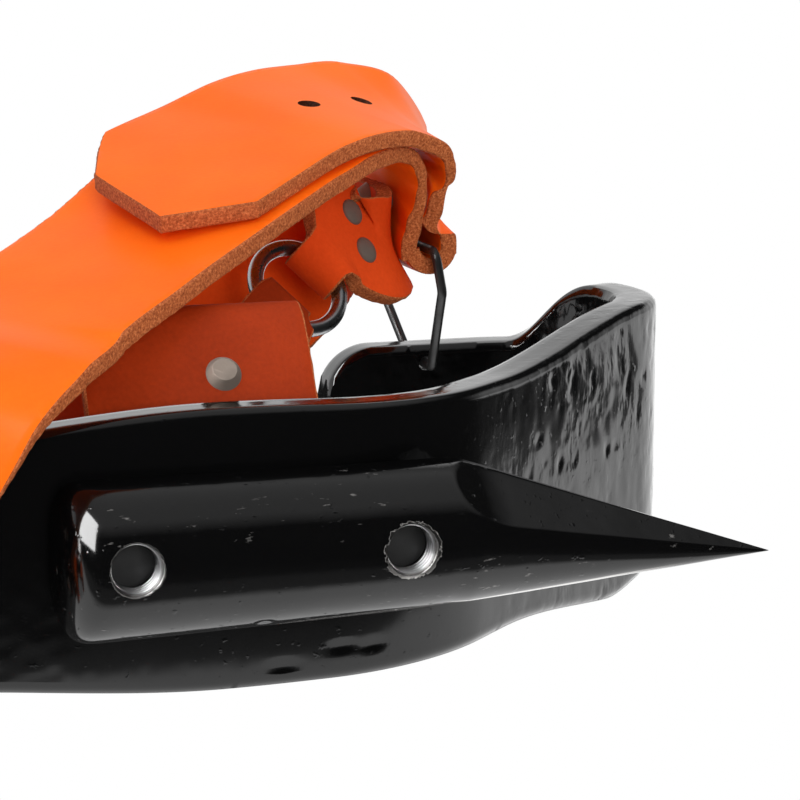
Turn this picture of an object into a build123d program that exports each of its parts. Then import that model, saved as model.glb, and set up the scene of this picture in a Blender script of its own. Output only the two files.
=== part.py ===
from build123d import *
from math import cos, radians, sin, tan
import os

os.makedirs("parts", exist_ok=True)

# A gaff climber lying on its side. X runs down the leg towards the spike tip, Y from the
# near arm to the far arm, Z up across the width of the steel band.

# Stirrup: one forged band with a near arm, a footrest bend and a short far arm
band_thickness = 7.5
shank_width = 34.0
neck_x = -78.0
neck_width = 34.0
near_arm_width = 41.0
waist_width = 39.0
footrest_width = 49.0
far_arm_width = 27.0
arm_spacing = 90.0
shank_end_x = -180.0
widest_x = -26.0
waist_x = 20.0
footrest_x = 56.0
kink_x = 5.0
kink_angle = 43.0
kink_radius = 40.0
bend_radius = 24.0
far_arm_end_x = 12.0
far_arm_full_x = 46.0
far_rise_x = 60.0
arm_corner_radius = 9.0
mid_z = footrest_width / 2

# Gaff: the bolted spike, a half round bar with a ground point
gaff_width = 20.8
gaff_depth = 13.0
gaff_side = 4.0
gaff_left_x = -51.0
gaff_tip_x = 56.0
gaff_shoulder_x = 10.0
gaff_raise = 1.5
gaff_corner_radius = 6.0
gaff_hole_xs = (-41.0, -2.0)
gaff_z = mid_z + gaff_raise
tip_y = -5.0
tip_drop = 6.0
ridge_rise = 1.5
back_relief_x = 22.0

# Gaff screws, flat heads flush on the leg side
screw_radius = 3.7
screw_head_radius = 7.0
screw_head_depth = 3.4
screw_recess = 6.0
socket_radius = 2.2
socket_depth = 2.7
thread_gap = 0.05
hole_gap = 0.3

# Leather
leather = 2.8
strap_width = 38.0
layer_gap = 0.3
tip_length = 25.0
tip_far_corner = (15.4, 9.7)
tip_near_corner = (24.7, -9.0)
tip_near_start = 13.4
billet_hole_radius = 1.9
end_flat = 27.0
end_press = 6.0
end_rivet_inset = 4.0
end_rivet_side = 9.0

# Rivets
rivet_radius = 2.0
rivet_head_radius = 4.6
small_head_radius = 2.9
rivet_head_height = 1.6
head_taper = 35.0
rivet_gap = 0.1

# Wire link through the far arm
link_wire = 1.1
link_x = 30.0
link_hole_depth = 3.2
link_bar_x = 26.0
link_bar_z = 57.0
link_bar_half = 21.5
link_waist = 7.0
link_foot_half = 7.0
link_corner = 2.0
link_gap = 0.08
fold_radius = 1.9
fold_sag = 0.5

# Buckles
bar_radius = 2.0
buckle_inner_width = 41.0
buckle_length = 17.0
buckle_corner = 4.0
roller_radius = 3.2
roller_length = 32.0
roller_gap = 0.06
prong_width = 4.0
prong_eye_radius = 3.9
prong_thickness = 1.9
prong_slot = 8.0
prong_lift = 0.2
chape_width = 30.0
chape_overlap = 7.0
foot_flap = 10.5
calf_flap = 12.0
bar_along = 12.0

# Leg bar, bolted on the leg side of the shank in a row of height holes
bar_width = 30.0
bar_thickness = 6.0
bar_low_x = -118.0
bar_top_x = -345.0
bolt_xs = (-137.0, -162.0)
bolt_radius = 4.0
bolt_head_radius = 7.2
bolt_head_height = 4.6
bolt_head_taper = 20.0
bolt_tail = 2.0
nut_across_flats = 13.0
nut_height = 6.5
height_hole_pitch = 12.5
height_hole_count = 6

# Calf plate, pad and strap
plate_thickness = 2.5
plate_length = 96.0
plate_top_x = -352.0
wing_radius = 60.0
wing_angle = 42.0
plate_corner_radius = 8.0
plate_rivet_spacing = 68.0
plate_rivet_side = 8.0
pad_thickness = 9.0
pad_margin = 4.0
pad_edge_radius = 3.0
calf_strap_x = -304.0
calf_buckle_y = 134.0
calf_buckle_z = 62.0
calf_loop_top = 103.0
calf_tip_z = 58.0
keeper_width = 12.0
keeper_thickness = 2.0
keeper_y = 76.0
soft_gap = 0.4
ground_gap = 0.1

# Ring, tabs and heel strap inside the foot loop
tab_width = 9.0
far_tab_width = 13.0
far_tab_flare = 18.0
panel_width = 27.0
panel_x = -23.0
ring_radius = 7.5
ring_wire = 1.3
ring_eye = 3.0
eye_inset = 0.75
heel_strap_width = 27.0
heel_end_width = 16.0
far_tab_z = 61.0
tab_clearance = 0.8
far_rivet_inset = 8.85
far_rivet_zs = (58.8, 64.8)
heel_far_rivet_insets = (1.25, -5.25)
heel_rivet_z = 60.5
heel_rivet_side = 5.6
heel_rivet_x = -61.0
tab_rivet_zs = (33.4, 23.6)


# The strap routes are drawn for arms this far apart, and spread with the arms
route_spacing = 90.0
far_mid_y = arm_spacing - band_thickness / 2
spread = far_mid_y / (route_spacing - band_thickness / 2)

pieces = {}


def save(piece, name):
    """Label one finished piece and keep it for the common frame."""
    piece.part.label = name
    pieces[name] = piece


def strap_sections(stations, width, thickness):
    """Rectangles across a strap at stations of a centre, a width direction and maybe a width."""
    sections = []
    for i, (centre, across, *own_width) in enumerate(stations):
        before = Vector(*stations[max(i - 1, 0)][0])
        after = Vector(*stations[min(i + 1, len(stations) - 1)][0])
        along = (after - before).normalized()
        sideways = Vector(*across)
        sideways = (sideways - along * sideways.dot(along)).normalized()
        with BuildSketch(Plane(origin=centre, x_dir=sideways, z_dir=along)) as section:
            Rectangle(own_width[0] if own_width else width, thickness)
        sections.append(section.sketch.faces()[0])
    return sections


def from_near_edge(edges, width):
    """Strap stations worked out from points on the near edge and width directions."""
    stations = []
    for (x, y, z), across in edges:
        direction = Vector(*across).normalized()
        centre = Vector(x, spread * y, z) + direction * width / 2
        stations.append((tuple(centre), tuple(direction)))
    return stations


def make_rivets(places, flush=False, head_radius=rivet_head_radius):
    """Rivets given by the outer face point, the direction into the joint and the grip."""
    with BuildPart() as rivets:
        for point, direction, grip in places:
            inward = Plane(origin=point, z_dir=direction)
            outward = Plane(origin=point, z_dir=-inward.z_dir)
            with BuildSketch(inward):
                Circle(rivet_radius)
            extrude(amount=grip)
            with BuildSketch(outward):
                Circle(head_radius)
            extrude(amount=rivet_head_height, taper=head_taper)
            if not flush:
                with BuildSketch(inward.offset(grip)):
                    Circle(head_radius)
                extrude(amount=rivet_head_height, taper=head_taper)
    return rivets


def drill(places, radius):
    """Cylinders along rivet or screw axes, ready to be cut from a piece."""
    with BuildPart() as drills:
        for point, direction, grip in places:
            axis = Plane(origin=point, z_dir=direction)
            with BuildSketch(axis.offset(-leather)):
                Circle(radius)
            extrude(amount=grip + 2 * leather)
    return drills.part


def make_buckle(seat):
    """Frame, roller and prong of a buckle: seat has X along the bar, Y to the roller."""
    half = buckle_inner_width / 2 + bar_radius
    with BuildPart() as frame:
        with BuildLine(seat) as path:
            FilletPolyline(
                (-half, 0), (half, 0), (half, buckle_length), (-half, buckle_length),
                radius=buckle_corner, close=True,
            )
        with BuildSketch(Plane(origin=path.line @ 0, z_dir=path.line % 0)):
            Circle(bar_radius)
        sweep()
    with BuildPart() as roller:
        start = seat.from_local_coords(Vector(-roller_length / 2, buckle_length, 0))
        with BuildSketch(Plane(origin=start, z_dir=seat.x_dir)):
            Circle(roller_radius)
            Circle(bar_radius + roller_gap, mode=Mode.SUBTRACT)
        extrude(amount=roller_length)
    with BuildPart() as prong:
        side = seat.from_local_coords(Vector(-prong_width / 2, 0, 0))
        rest = roller_radius + prong_lift
        reach = buckle_length + roller_radius
        with BuildSketch(Plane(origin=side, x_dir=seat.y_dir, z_dir=seat.x_dir)):
            with BuildLine():
                Polyline(
                    (0, bar_radius), (buckle_length - roller_radius, rest), (reach, rest),
                    (reach, rest + prong_thickness / 2), (buckle_length, rest + prong_thickness),
                    (0, prong_eye_radius), (0, bar_radius),
                )
            make_face()
            Circle(prong_eye_radius)
            Circle(bar_radius + roller_gap, mode=Mode.SUBTRACT)
        extrude(amount=prong_width)
    return frame, roller, prong


def make_chape(seat, back_length, flap_length):
    """Leather folded round a buckle bar, with a slot for the prong."""
    inner = bar_radius + soft_gap
    outer = inner + leather
    with BuildPart() as chape:
        side = seat.from_local_coords(Vector(-chape_width / 2, 0, 0))
        with BuildSketch(Plane(origin=side, x_dir=seat.y_dir, z_dir=seat.x_dir)):
            Circle(outer)
            with Locations((-back_length / 2, -inner - leather / 2)):
                Rectangle(back_length, leather)
            with Locations((-flap_length / 2, inner + leather / 2)):
                Rectangle(flap_length, leather)
            with Locations((-outer / 2, 0)):
                Rectangle(outer, 2 * inner, mode=Mode.SUBTRACT)
            Circle(inner, mode=Mode.SUBTRACT)
        extrude(amount=chape_width)
        slot = seat.from_local_coords(Vector(-prong_slot / 2, 0, 0))
        with BuildSketch(Plane(origin=slot, x_dir=seat.y_dir, z_dir=seat.x_dir)):
            Rectangle(2 * flap_length - leather, 2 * outer + leather)
        extrude(amount=prong_slot, mode=Mode.SUBTRACT)
    return chape


# Places that several pieces share
leg_face_y = band_thickness
link_hole_z = mid_z + far_arm_width / 2 - link_hole_depth
link_axis = Plane(origin=(link_x, far_mid_y, link_hole_z), z_dir=(0, 1, 0))
link_rise = Vector(link_bar_x - link_x, 0, link_bar_z - link_hole_z)
link_plane = Plane(
    origin=link_axis.origin, x_dir=(0, 1, 0), z_dir=Vector(0, 1, 0).cross(link_rise.normalized())
)

# The far tab and the heel strap lie one behind the other inside the foot strap's fold
fold_mid = fold_radius + leather / 2
fold_z = link_bar_z + fold_sag
fold_face_x = link_bar_x - fold_mid + leather / 2
far_tab_x = link_bar_x - fold_mid - leather - tab_clearance
heel_end_x = far_tab_x - leather - layer_gap
far_tab_rivets = [
    ((far_tab_x - leather / 2, far_mid_y - far_rivet_inset, z), (1, 0, 0), fold_face_x - far_tab_x + leather / 2)
    for z in far_rivet_zs
]
heel_far_rivets = [
    ((heel_end_x - leather / 2, far_mid_y - inset, heel_rivet_z), (1, 0, 0),
     fold_face_x - heel_end_x + leather / 2)
    for inset in heel_far_rivet_insets
]

# The foot strap lies flat on the near arm at its fixed end
end_along = Vector(0.57, 0, 0.82).normalized()
end_across = Vector(-0.82, 0, 0.57).normalized()
end_y = -leather / 2
strap_end = Vector(-99.0, end_y, 11.5)
strap_lift = strap_end + end_along * end_flat
end_rivet_point = strap_end + end_along * end_rivet_inset - Vector(0, 1.5 * leather, 0)
end_rivets = [
    (end_rivet_point + end_across * side * end_rivet_side, (0, 1, 0), 2 * leather + band_thickness)
    for side in (-1, 1)
]
buckle_seat = Plane(
    origin=strap_end + end_along * bar_along
    - Vector(0, leather * 1.5 + bar_radius + soft_gap, 0),
    x_dir=-end_across,
    z_dir=(0, -1, 0),
)

# Rivets of the heel strap and the near tab on the leg side of the near arm
heel_rivets = [
    ((heel_rivet_x, leg_face_y + leather, mid_z + side * heel_rivet_side), (0, -1, 0),
     leather + band_thickness)
    for side in (-1, 1)
]
tab_rivets = [
    ((panel_x, leg_face_y + leather, z), (0, -1, 0), leather + band_thickness) for z in tab_rivet_zs
]
panel_slope = Vector(0, -0.794, 0.607).normalized()
panel_rivet = [
    (Vector(panel_x, 13.3, 47.0) + panel_slope * leather / 2, tuple(-panel_slope), leather)
]
bolt_places = [((x, 0, mid_z), (0, 1, 0), band_thickness + bar_thickness) for x in bolt_xs]
gaff_places = [
    ((x, -gaff_depth, gaff_z), (0, 1, 0), gaff_depth + band_thickness) for x in gaff_hole_xs
]

# Stirrup
run_on = Vector(cos(radians(kink_angle)), sin(radians(kink_angle)), 0)
run_left = Vector(-sin(radians(kink_angle)), cos(radians(kink_angle)), 0)
far_corner = Vector(kink_x, 0, 0) + run_on * (arm_spacing / sin(radians(kink_angle)))
turn_back = tan(radians((180 - kink_angle) / 2))
inner_kink = (kink_x - band_thickness * tan(radians(kink_angle / 2)), band_thickness)
inner_far = far_corner + run_left * band_thickness - run_on * band_thickness * turn_back
bend_middle_y = arm_spacing - bend_radius
with BuildPart() as stirrup:
    with BuildSketch():
        with BuildLine():
            outside = FilletPolyline(
                (shank_end_x, 0), (kink_x, 0), (far_corner.X, far_corner.Y),
                (far_arm_end_x, arm_spacing), radius=(kink_radius, bend_radius),
            )
            inside = FilletPolyline(
                (shank_end_x, band_thickness), inner_kink, (inner_far.X, inner_far.Y),
                (far_arm_end_x, arm_spacing - band_thickness),
                radius=(kink_radius - band_thickness, bend_radius - band_thickness),
            )
            Line(outside @ 0, inside @ 0)
            Line(outside @ 1, inside @ 1)
        make_face()
    extrude(amount=footrest_width)
    # the near arm is narrower than the footrest, with a waist beside it
    for side in (1, -1):
        with BuildSketch(Plane(origin=(0, -1, mid_z), x_dir=(1, 0, 0), z_dir=(0, -1, 0))):
            with BuildLine():
                edge = Spline(
                    (shank_end_x - 1, side * shank_width / 2),
                    (neck_x, side * neck_width / 2),
                    (widest_x, side * near_arm_width / 2),
                    (waist_x, side * waist_width / 2),
                    (footrest_x, side * footrest_width / 2),
                    tangents=((1, 0), (1, side * 0.1)),
                )
                Polyline(
                    edge @ 1, (footrest_x, side * footrest_width),
                    (shank_end_x - 1, side * footrest_width), edge @ 0,
                )
            make_face()
        extrude(amount=-(bend_middle_y - 2), mode=Mode.SUBTRACT)
        with BuildSketch(Plane(origin=(0, bend_middle_y - 3, mid_z), x_dir=(1, 0, 0), z_dir=(0, -1, 0))):
            with BuildLine():
                rise = Spline(
                    (far_arm_full_x, side * far_arm_width / 2),
                    (far_rise_x, side * footrest_width / 2),
                    tangents=((1, 0), (1, side * 0.3)),
                )
                Polyline(
                    rise @ 1, (far_rise_x, side * footrest_width),
                    (far_arm_end_x - 1, side * footrest_width),
                    (far_arm_end_x - 1, side * far_arm_width / 2), rise @ 0,
                )
            make_face()
        extrude(amount=-(bend_radius + 4), mode=Mode.SUBTRACT)
    # rounded corners at the free end of each arm
    for end_x, end_y0, half_width in (
        (shank_end_x, 0, shank_width / 2),
        (far_arm_end_x, arm_spacing - band_thickness, far_arm_width / 2),
    ):
        for side in (1, -1):
            corner = Plane(
                origin=(end_x, end_y0 - 1, mid_z + side * half_width), x_dir=(1, 0, 0), z_dir=(0, -1, 0)
            )
            with BuildSketch(corner):
                Rectangle(2 * arm_corner_radius, 2 * arm_corner_radius)
                with Locations((arm_corner_radius, -side * arm_corner_radius)):
                    Circle(arm_corner_radius, mode=Mode.SUBTRACT)
            extrude(amount=-(band_thickness + 2), mode=Mode.SUBTRACT)
    add(drill(gaff_places, screw_radius + hole_gap), mode=Mode.SUBTRACT)
    add(drill(bolt_places, bolt_radius + hole_gap), mode=Mode.SUBTRACT)
    add(drill(end_rivets + heel_rivets + tab_rivets, rivet_radius + rivet_gap), mode=Mode.SUBTRACT)
    with Locations(*[Plane(origin=(x, leg_face_y, gaff_z), z_dir=(0, 1, 0)) for x in gaff_hole_xs]):
        CounterSinkHole(screw_radius + hole_gap, screw_head_radius + hole_gap, band_thickness)
    with BuildSketch(link_axis.offset(-band_thickness)):
        Circle(link_wire + link_gap)
    extrude(amount=2 * band_thickness, mode=Mode.SUBTRACT)
save(stirrup, "stirrup")

# Gaff
tip = Vector(gaff_tip_x, tip_y, gaff_z - tip_drop)
ridge = Vector(gaff_shoulder_x + 2, -gaff_depth, gaff_z + ridge_rise)
upper_shoulder = Vector(gaff_shoulder_x, -gaff_side / 2, gaff_z + gaff_width / 2)
lower_shoulder = Vector(gaff_shoulder_x - 2, -gaff_side / 2, gaff_z - gaff_width / 2)
relief = Vector(back_relief_x, 0, gaff_z)
upper_facet = (tip - ridge).cross(upper_shoulder - ridge)
lower_facet = (lower_shoulder - ridge).cross(tip - ridge)
back_facet = (tip - relief).cross(Vector(0, 0, -1))
with BuildPart() as gaff:
    with BuildSketch(Plane(origin=(gaff_left_x, 0, gaff_z), x_dir=(0, 1, 0), z_dir=(1, 0, 0))):
        with BuildLine():
            Line((0, -gaff_width / 2), (-gaff_side, -gaff_width / 2))
            ThreePointArc(
                (-gaff_side, -gaff_width / 2), (-gaff_depth, 0), (-gaff_side, gaff_width / 2)
            )
            Polyline((-gaff_side, gaff_width / 2), (0, gaff_width / 2), (0, -gaff_width / 2))
        make_face()
    extrude(amount=gaff_tip_x - gaff_left_x)
    with BuildSketch(Plane(origin=(gaff_tip_x, 0, gaff_z), x_dir=(1, 0, 0), z_dir=(0, -1, 0))):
        RectangleRounded(
            2 * (gaff_tip_x - gaff_left_x), gaff_width, gaff_corner_radius,
        )
    extrude(amount=gaff_depth, mode=Mode.INTERSECT)
    split(bisect_by=Plane(origin=tip, z_dir=upper_facet), keep=Keep.BOTTOM)
    split(bisect_by=Plane(origin=tip, z_dir=lower_facet), keep=Keep.BOTTOM)
    split(bisect_by=Plane(origin=tip, z_dir=back_facet), keep=Keep.BOTTOM)
    add(drill(gaff_places, screw_radius + thread_gap), mode=Mode.SUBTRACT)
save(gaff, "gaff")

# Gaff screws, from the leg side
with BuildPart() as gaff_screws:
    for x in gaff_hole_xs:
        head = Plane(origin=(x, leg_face_y, gaff_z), z_dir=(0, -1, 0))
        with BuildSketch(head):
            Circle(screw_radius)
        extrude(amount=band_thickness + gaff_depth - screw_recess)
        with BuildSketch(head):
            Circle(screw_head_radius)
        with BuildSketch(head.offset(screw_head_depth)):
            Circle(screw_radius)
        loft()
        with BuildSketch(head):
            RegularPolygon(socket_radius, 6)
        extrude(amount=socket_depth, mode=Mode.SUBTRACT)
save(gaff_screws, "gaff_screws")

# Wire link: closed loop through the far arm, with its bar above the arm
with BuildPart() as far_arm_link:
    with BuildLine(link_plane) as path:
        FilletPolyline(
            (-link_foot_half, 0), (link_foot_half, 0),
            (link_bar_half, link_rise.length - link_waist), (link_bar_half, link_rise.length),
            (-link_bar_half, link_rise.length), (-link_bar_half, link_rise.length - link_waist),
            radius=link_corner, close=True,
        )
    with BuildSketch(Plane(origin=path.line @ 0, z_dir=path.line % 0)):
        Circle(link_wire)
    sweep()
save(far_arm_link, "far_arm_link")

# Foot strap: from the near arm over to the link, round its bar and back on top to a free tip
lower_layer = [
    (tuple(strap_end), tuple(end_across)),
    (tuple(strap_lift - end_along * end_press), tuple(end_across)),
    (tuple(strap_lift), tuple(end_across)),
    ((-77.0, -4.4, 43.0), (-0.80, 0.15, 0.58)),
    ((-68.0, 1.2, 52.0), (-0.76, 0.50, 0.40)),
    ((-59.0, 11.0, 54.0), (-0.70, 0.68, 0.15)),
] + from_near_edge([
    ((-39.4, 5.0, 54.1), (-0.65, 0.755, 0.04)),
    ((-25.1, 17.0, 60.4), (-0.69, 0.72, 0.0)),
    ((-14.4, 27.0, 64.6), (-0.68, 0.73, 0.02)),
    ((-5.0, 36.0, 68.0), (-0.66, 0.74, 0.08)),
    ((1.7, 43.0, 70.4), (-0.60, 0.78, 0.12)),
    ((6.4, 48.0, 72.0), (-0.53, 0.82, 0.16)),
    ((11.2, 53.0, 73.2), (-0.45, 0.86, 0.20)),
    ((14.9, 57.0, 73.6), (-0.36, 0.89, 0.23)),
    ((17.8, 60.0, 73.0), (-0.25, 0.92, 0.25)),
    ((20.3, 62.5, 71.0), (-0.12, 0.95, 0.24)),
    ((21.8, 64.5, 67.2), (0.03, 0.97, 0.18)),
    ((22.6, 66.0, 63.2), (0.06, 0.99, 0.07)),
], strap_width) + [
    ((link_bar_x - fold_mid, far_mid_y, fold_z), (0, 1, 0)),
]
upper_layer = [
    ((link_bar_x + fold_mid, far_mid_y, fold_z), (0, 1, 0)),
] + from_near_edge([
    ((28.5, 66.5, 63.0), (0.03, 0.99, 0.05)),
    ((26.0, 65.2, 66.5), (0.22, 0.96, 0.15)),
    ((26.2, 63.5, 70.0), (0.08, 0.95, 0.30)),
    ((24.2, 61.0, 73.6), (-0.10, 0.93, 0.34)),
    ((20.8, 58.0, 75.8), (-0.25, 0.92, 0.30)),
    ((16.8, 55.0, 76.8), (-0.37, 0.88, 0.27)),
    ((10.3, 50.0, 76.6), (-0.48, 0.84, 0.23)),
    ((4.2, 46.0, 75.2), (-0.57, 0.79, 0.17)),
    ((-3.9, 39.5, 72.2), (-0.66, 0.74, 0.13)),
    ((-13.4, 30.7, 68.9), (-0.66, 0.74, 0.13)),
], strap_width)
# the tip has both corners cut, and the far one starts further back
tip_across = Vector(*upper_layer[-1][1])
tip_start = Vector(*upper_layer[-2][0])
tip_run = (Vector(*upper_layer[-1][0]) - tip_start).normalized()
tip_seat = Plane(origin=tip_start, x_dir=tip_run, z_dir=tip_run.cross(tip_across))
upper_layer.append((tuple(tip_start + tip_run * tip_length), tuple(tip_across)))
billet_holes = []
for before, after in ((5, 5), (6, 7)):
    centre = (Vector(*upper_layer[before][0]) + Vector(*upper_layer[after][0])) / 2
    run = Vector(*upper_layer[after + 1][0]) - Vector(*upper_layer[before - 1][0])
    billet_holes.append(Plane(origin=centre, z_dir=run.cross(Vector(*upper_layer[before][1]))))
punch_depth = leather / 2 + layer_gap
with BuildPart() as foot_strap:
    loft(sections=strap_sections(lower_layer, strap_width, leather), ruled=True)
    loft(sections=strap_sections(upper_layer, strap_width, leather), ruled=True)
    with BuildSketch(Plane(
        origin=(link_bar_x, far_mid_y - strap_width / 2, fold_z), x_dir=(1, 0, 0), z_dir=(0, 1, 0),
    )):
        Circle(fold_radius + leather)
        Circle(fold_radius, mode=Mode.SUBTRACT)
        with Locations((0, -2 * fold_mid)):
            Rectangle(4 * fold_mid, 4 * fold_mid, mode=Mode.SUBTRACT)
    extrude(amount=strap_width)
    add(drill(end_rivets, rivet_radius + rivet_gap), mode=Mode.SUBTRACT)
    add(drill(far_tab_rivets + heel_far_rivets, rivet_radius + rivet_gap), mode=Mode.SUBTRACT)
    with BuildSketch(tip_seat):
        with BuildLine():
            Polyline(
                (0, strap_width / 2), tip_far_corner, tip_near_corner, (tip_near_start, -strap_width / 2),
                (tip_near_start, -strap_width), (2 * tip_length, -strap_width),
                (2 * tip_length, strap_width), (0, strap_width), close=True,
            )
        make_face()
    extrude(amount=punch_depth, both=True, mode=Mode.SUBTRACT)
    for hole in billet_holes:
        with BuildSketch(hole):
            Circle(billet_hole_radius)
        extrude(amount=punch_depth, both=True, mode=Mode.SUBTRACT)
save(foot_strap, "foot_strap")

# Rivets that fix the foot strap and the buckle chape to the near arm
save(make_rivets(end_rivets), "foot_strap_rivets")

# Foot buckle on its folded chape
with BuildPart() as foot_buckle_chape:
    add(make_chape(buckle_seat, bar_along + 1.0, foot_flap).part)
    add(drill(end_rivets, rivet_radius + rivet_gap), mode=Mode.SUBTRACT)
save(foot_buckle_chape, "foot_buckle_chape")
foot_frame, foot_roller, foot_prong = make_buckle(buckle_seat)
save(foot_frame, "foot_buckle_frame")
save(foot_roller, "foot_buckle_roller")
save(foot_prong, "foot_buckle_prong")

# Ring between the near tab and the far tab, pulled along far_pull
ring_centre = Vector(0.0, spread * 56.8, 53.1)
far_pull = Vector(0.70, 0.55, 0.46).normalized()
near_pull = -far_pull
ring_across = Vector(-0.68, 0.30, 0.67)
ring_across = (ring_across - far_pull * ring_across.dot(far_pull)).normalized()
ring_facing = far_pull.cross(ring_across)
with BuildPart() as heel_ring:
    with BuildSketch(Plane(origin=ring_centre, x_dir=ring_facing, z_dir=ring_across)):
        with Locations((0, ring_radius)):
            Circle(ring_wire)
    revolve(axis=Axis(ring_centre, ring_facing))
save(heel_ring, "heel_ring")


def tab_eye(pull):
    """Round fold of a tab that holds the ring on one side."""
    place = ring_centre + pull * (ring_radius - eye_inset)
    side = Plane(origin=place - ring_across * tab_width / 2, x_dir=pull, z_dir=ring_across)
    with BuildPart() as eye:
        with BuildSketch(side):
            Circle(ring_eye + leather)
            Circle(ring_eye, mode=Mode.SUBTRACT)
        extrude(amount=tab_width)
    return eye.part


eye_mid = ring_eye + leather / 2
near_eye = ring_centre + near_pull * (ring_radius - eye_inset + eye_mid)
far_eye = ring_centre + far_pull * (ring_radius - eye_inset + eye_mid)
panel_y = leg_face_y + leather / 2
near_run = [
    (tuple(near_eye), tuple(ring_across), tab_width),
    ((-14.0, spread * 40.5, 43.5), (-0.85, 0.35, 0.30), 14.0),
    ((-19.5, spread * 31.0, 48.0), (-0.96, 0.20, 0.10), 20.0),
    ((-22.5, 24.5, 53.0), (-1, 0.05, 0), panel_width),
    ((panel_x, 20.5, 54.4), (-1, 0, 0), panel_width),
    ((panel_x, 17.5, 52.5), (-1, 0, 0), panel_width),
    ((panel_x, 11.0, 44.0), (-1, 0, 0), panel_width),
    ((panel_x, panel_y, 39.5), (-1, 0, 0), panel_width),
    ((panel_x, panel_y, 38.3), (-1, 0, 0), panel_width),
    ((panel_x, panel_y, 17.0), (-1, 0, 0), panel_width),
]
with BuildPart() as near_tab:
    add(tab_eye(near_pull))
    loft(sections=strap_sections(near_run, tab_width, leather), ruled=True)
    add(drill(tab_rivets + panel_rivet, rivet_radius + rivet_gap), mode=Mode.SUBTRACT)
save(near_tab, "near_tab")
with BuildPart() as near_tab_rivets:
    add(make_rivets(tab_rivets, flush=True).part)
    add(make_rivets(panel_rivet, head_radius=small_head_radius).part)
save(near_tab_rivets, "near_tab_rivets")

far_run = [
    (tuple(far_eye), tuple(ring_across), tab_width),
    ((16.5, spread * 67.3, 57.5), (-0.40, 0.20, 0.90), far_tab_flare),
    ((18.6, spread * 70.8, 59.5), (-0.10, 0.05, 1), 16.0),
    ((far_tab_x, far_mid_y - 12.65, far_tab_z), (0, 0, 1), far_tab_width),
    ((far_tab_x, far_mid_y + 9.75, far_tab_z), (0, 0, 1), far_tab_width),
]
with BuildPart() as far_tab:
    add(tab_eye(far_pull))
    loft(sections=strap_sections(far_run, tab_width, leather), ruled=True)
    add(drill(far_tab_rivets + heel_far_rivets, rivet_radius + rivet_gap), mode=Mode.SUBTRACT)
save(far_tab, "far_tab")
save(make_rivets(far_tab_rivets, flush=True, head_radius=small_head_radius), "far_tab_rivets")

# Heel strap: from under the far tab back behind the ring to the near arm
heel_run = [
    ((heel_end_x, far_mid_y + 8.75, 57.5), (0, 0, 1), heel_end_width),
    ((heel_end_x, far_mid_y - 2.25, 57.5), (0, 0, 1), heel_end_width),
    ((14.0, spread * 80.5, 57.0), (-0.20, 0, 0.98), heel_end_width),
    ((8.5, spread * 77.0, 55.5), (-0.45, 0.20, 0.87), 20.0),
    ((0.5, spread * 72.0, 53.0), (-0.60, 0.30, 0.74), 25.0),
    ((-8.0, spread * 65.5, 49.5), (-0.62, 0.25, 0.74)),
    ((-18.0, spread * 57.5, 43.5), (-0.60, 0.22, 0.77)),
    ((-31.0, spread * 45.0, 37.0), (-0.50, 0.22, 0.84)),
    ((-42.5, spread * 30.0, 31.5), (-0.35, 0.20, 0.92)),
    ((-48.5, 16.5, 27.5), (-0.12, 0.05, 0.98)),
    ((-52.0, 10.4, 25.5), (0, 0, 1)),
    ((-54.5, panel_y, mid_z), (0, 0, 1)),
    ((-56.0, panel_y, mid_z), (0, 0, 1)),
    ((-70.0, panel_y, mid_z), (0, 0, 1)),
]
with BuildPart() as heel_strap:
    loft(sections=strap_sections(heel_run, heel_strap_width, leather), ruled=True)
    add(drill(heel_rivets + heel_far_rivets, rivet_radius + rivet_gap), mode=Mode.SUBTRACT)
save(heel_strap, "heel_strap")
with BuildPart() as heel_strap_rivets:
    add(make_rivets(heel_rivets, flush=True).part)
    add(make_rivets(heel_far_rivets, flush=True, head_radius=small_head_radius).part)
save(heel_strap_rivets, "heel_strap_rivets")

# Leg bar with its row of height holes, bolted to the leg side of the shank
bar_back_y = leg_face_y
bar_face_y = leg_face_y + bar_thickness
plate_face_y = bar_face_y + plate_thickness
plate_low_x = plate_top_x + plate_length
plate_mid_x = plate_top_x + plate_length / 2
plate_rivets = [
    ((plate_mid_x + side * plate_rivet_spacing / 2, bar_back_y, mid_z + row * plate_rivet_side),
     (0, 1, 0), bar_thickness + plate_thickness)
    for side in (-1, 1) for row in (-1, 1)
]
bar_plane = Plane(origin=(0, bar_face_y, mid_z), x_dir=(1, 0, 0), z_dir=(0, -1, 0))
with BuildPart() as leg_bar:
    with BuildSketch(bar_plane):
        with Locations(((bar_top_x + bar_low_x) / 2, 0)):
            RectangleRounded(bar_low_x - bar_top_x, bar_width, arm_corner_radius)
        with Locations(*[(bolt_xs[0] - i * height_hole_pitch, 0) for i in range(height_hole_count)]):
            Circle(bolt_radius + hole_gap, mode=Mode.SUBTRACT)
    extrude(amount=bar_thickness)
    add(drill(plate_rivets, rivet_radius + rivet_gap), mode=Mode.SUBTRACT)
save(leg_bar, "leg_bar")

with BuildPart() as leg_bar_bolts:
    for x in bolt_xs:
        head = Plane(origin=(x, 0, mid_z), z_dir=(0, -1, 0))
        with BuildSketch(head):
            Circle(bolt_head_radius)
        extrude(amount=bolt_head_height, taper=bolt_head_taper)
        with BuildSketch(head):
            Circle(bolt_radius)
        extrude(amount=-(band_thickness + bar_thickness + nut_height + bolt_tail))
save(leg_bar_bolts, "leg_bar_bolts")

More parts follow.
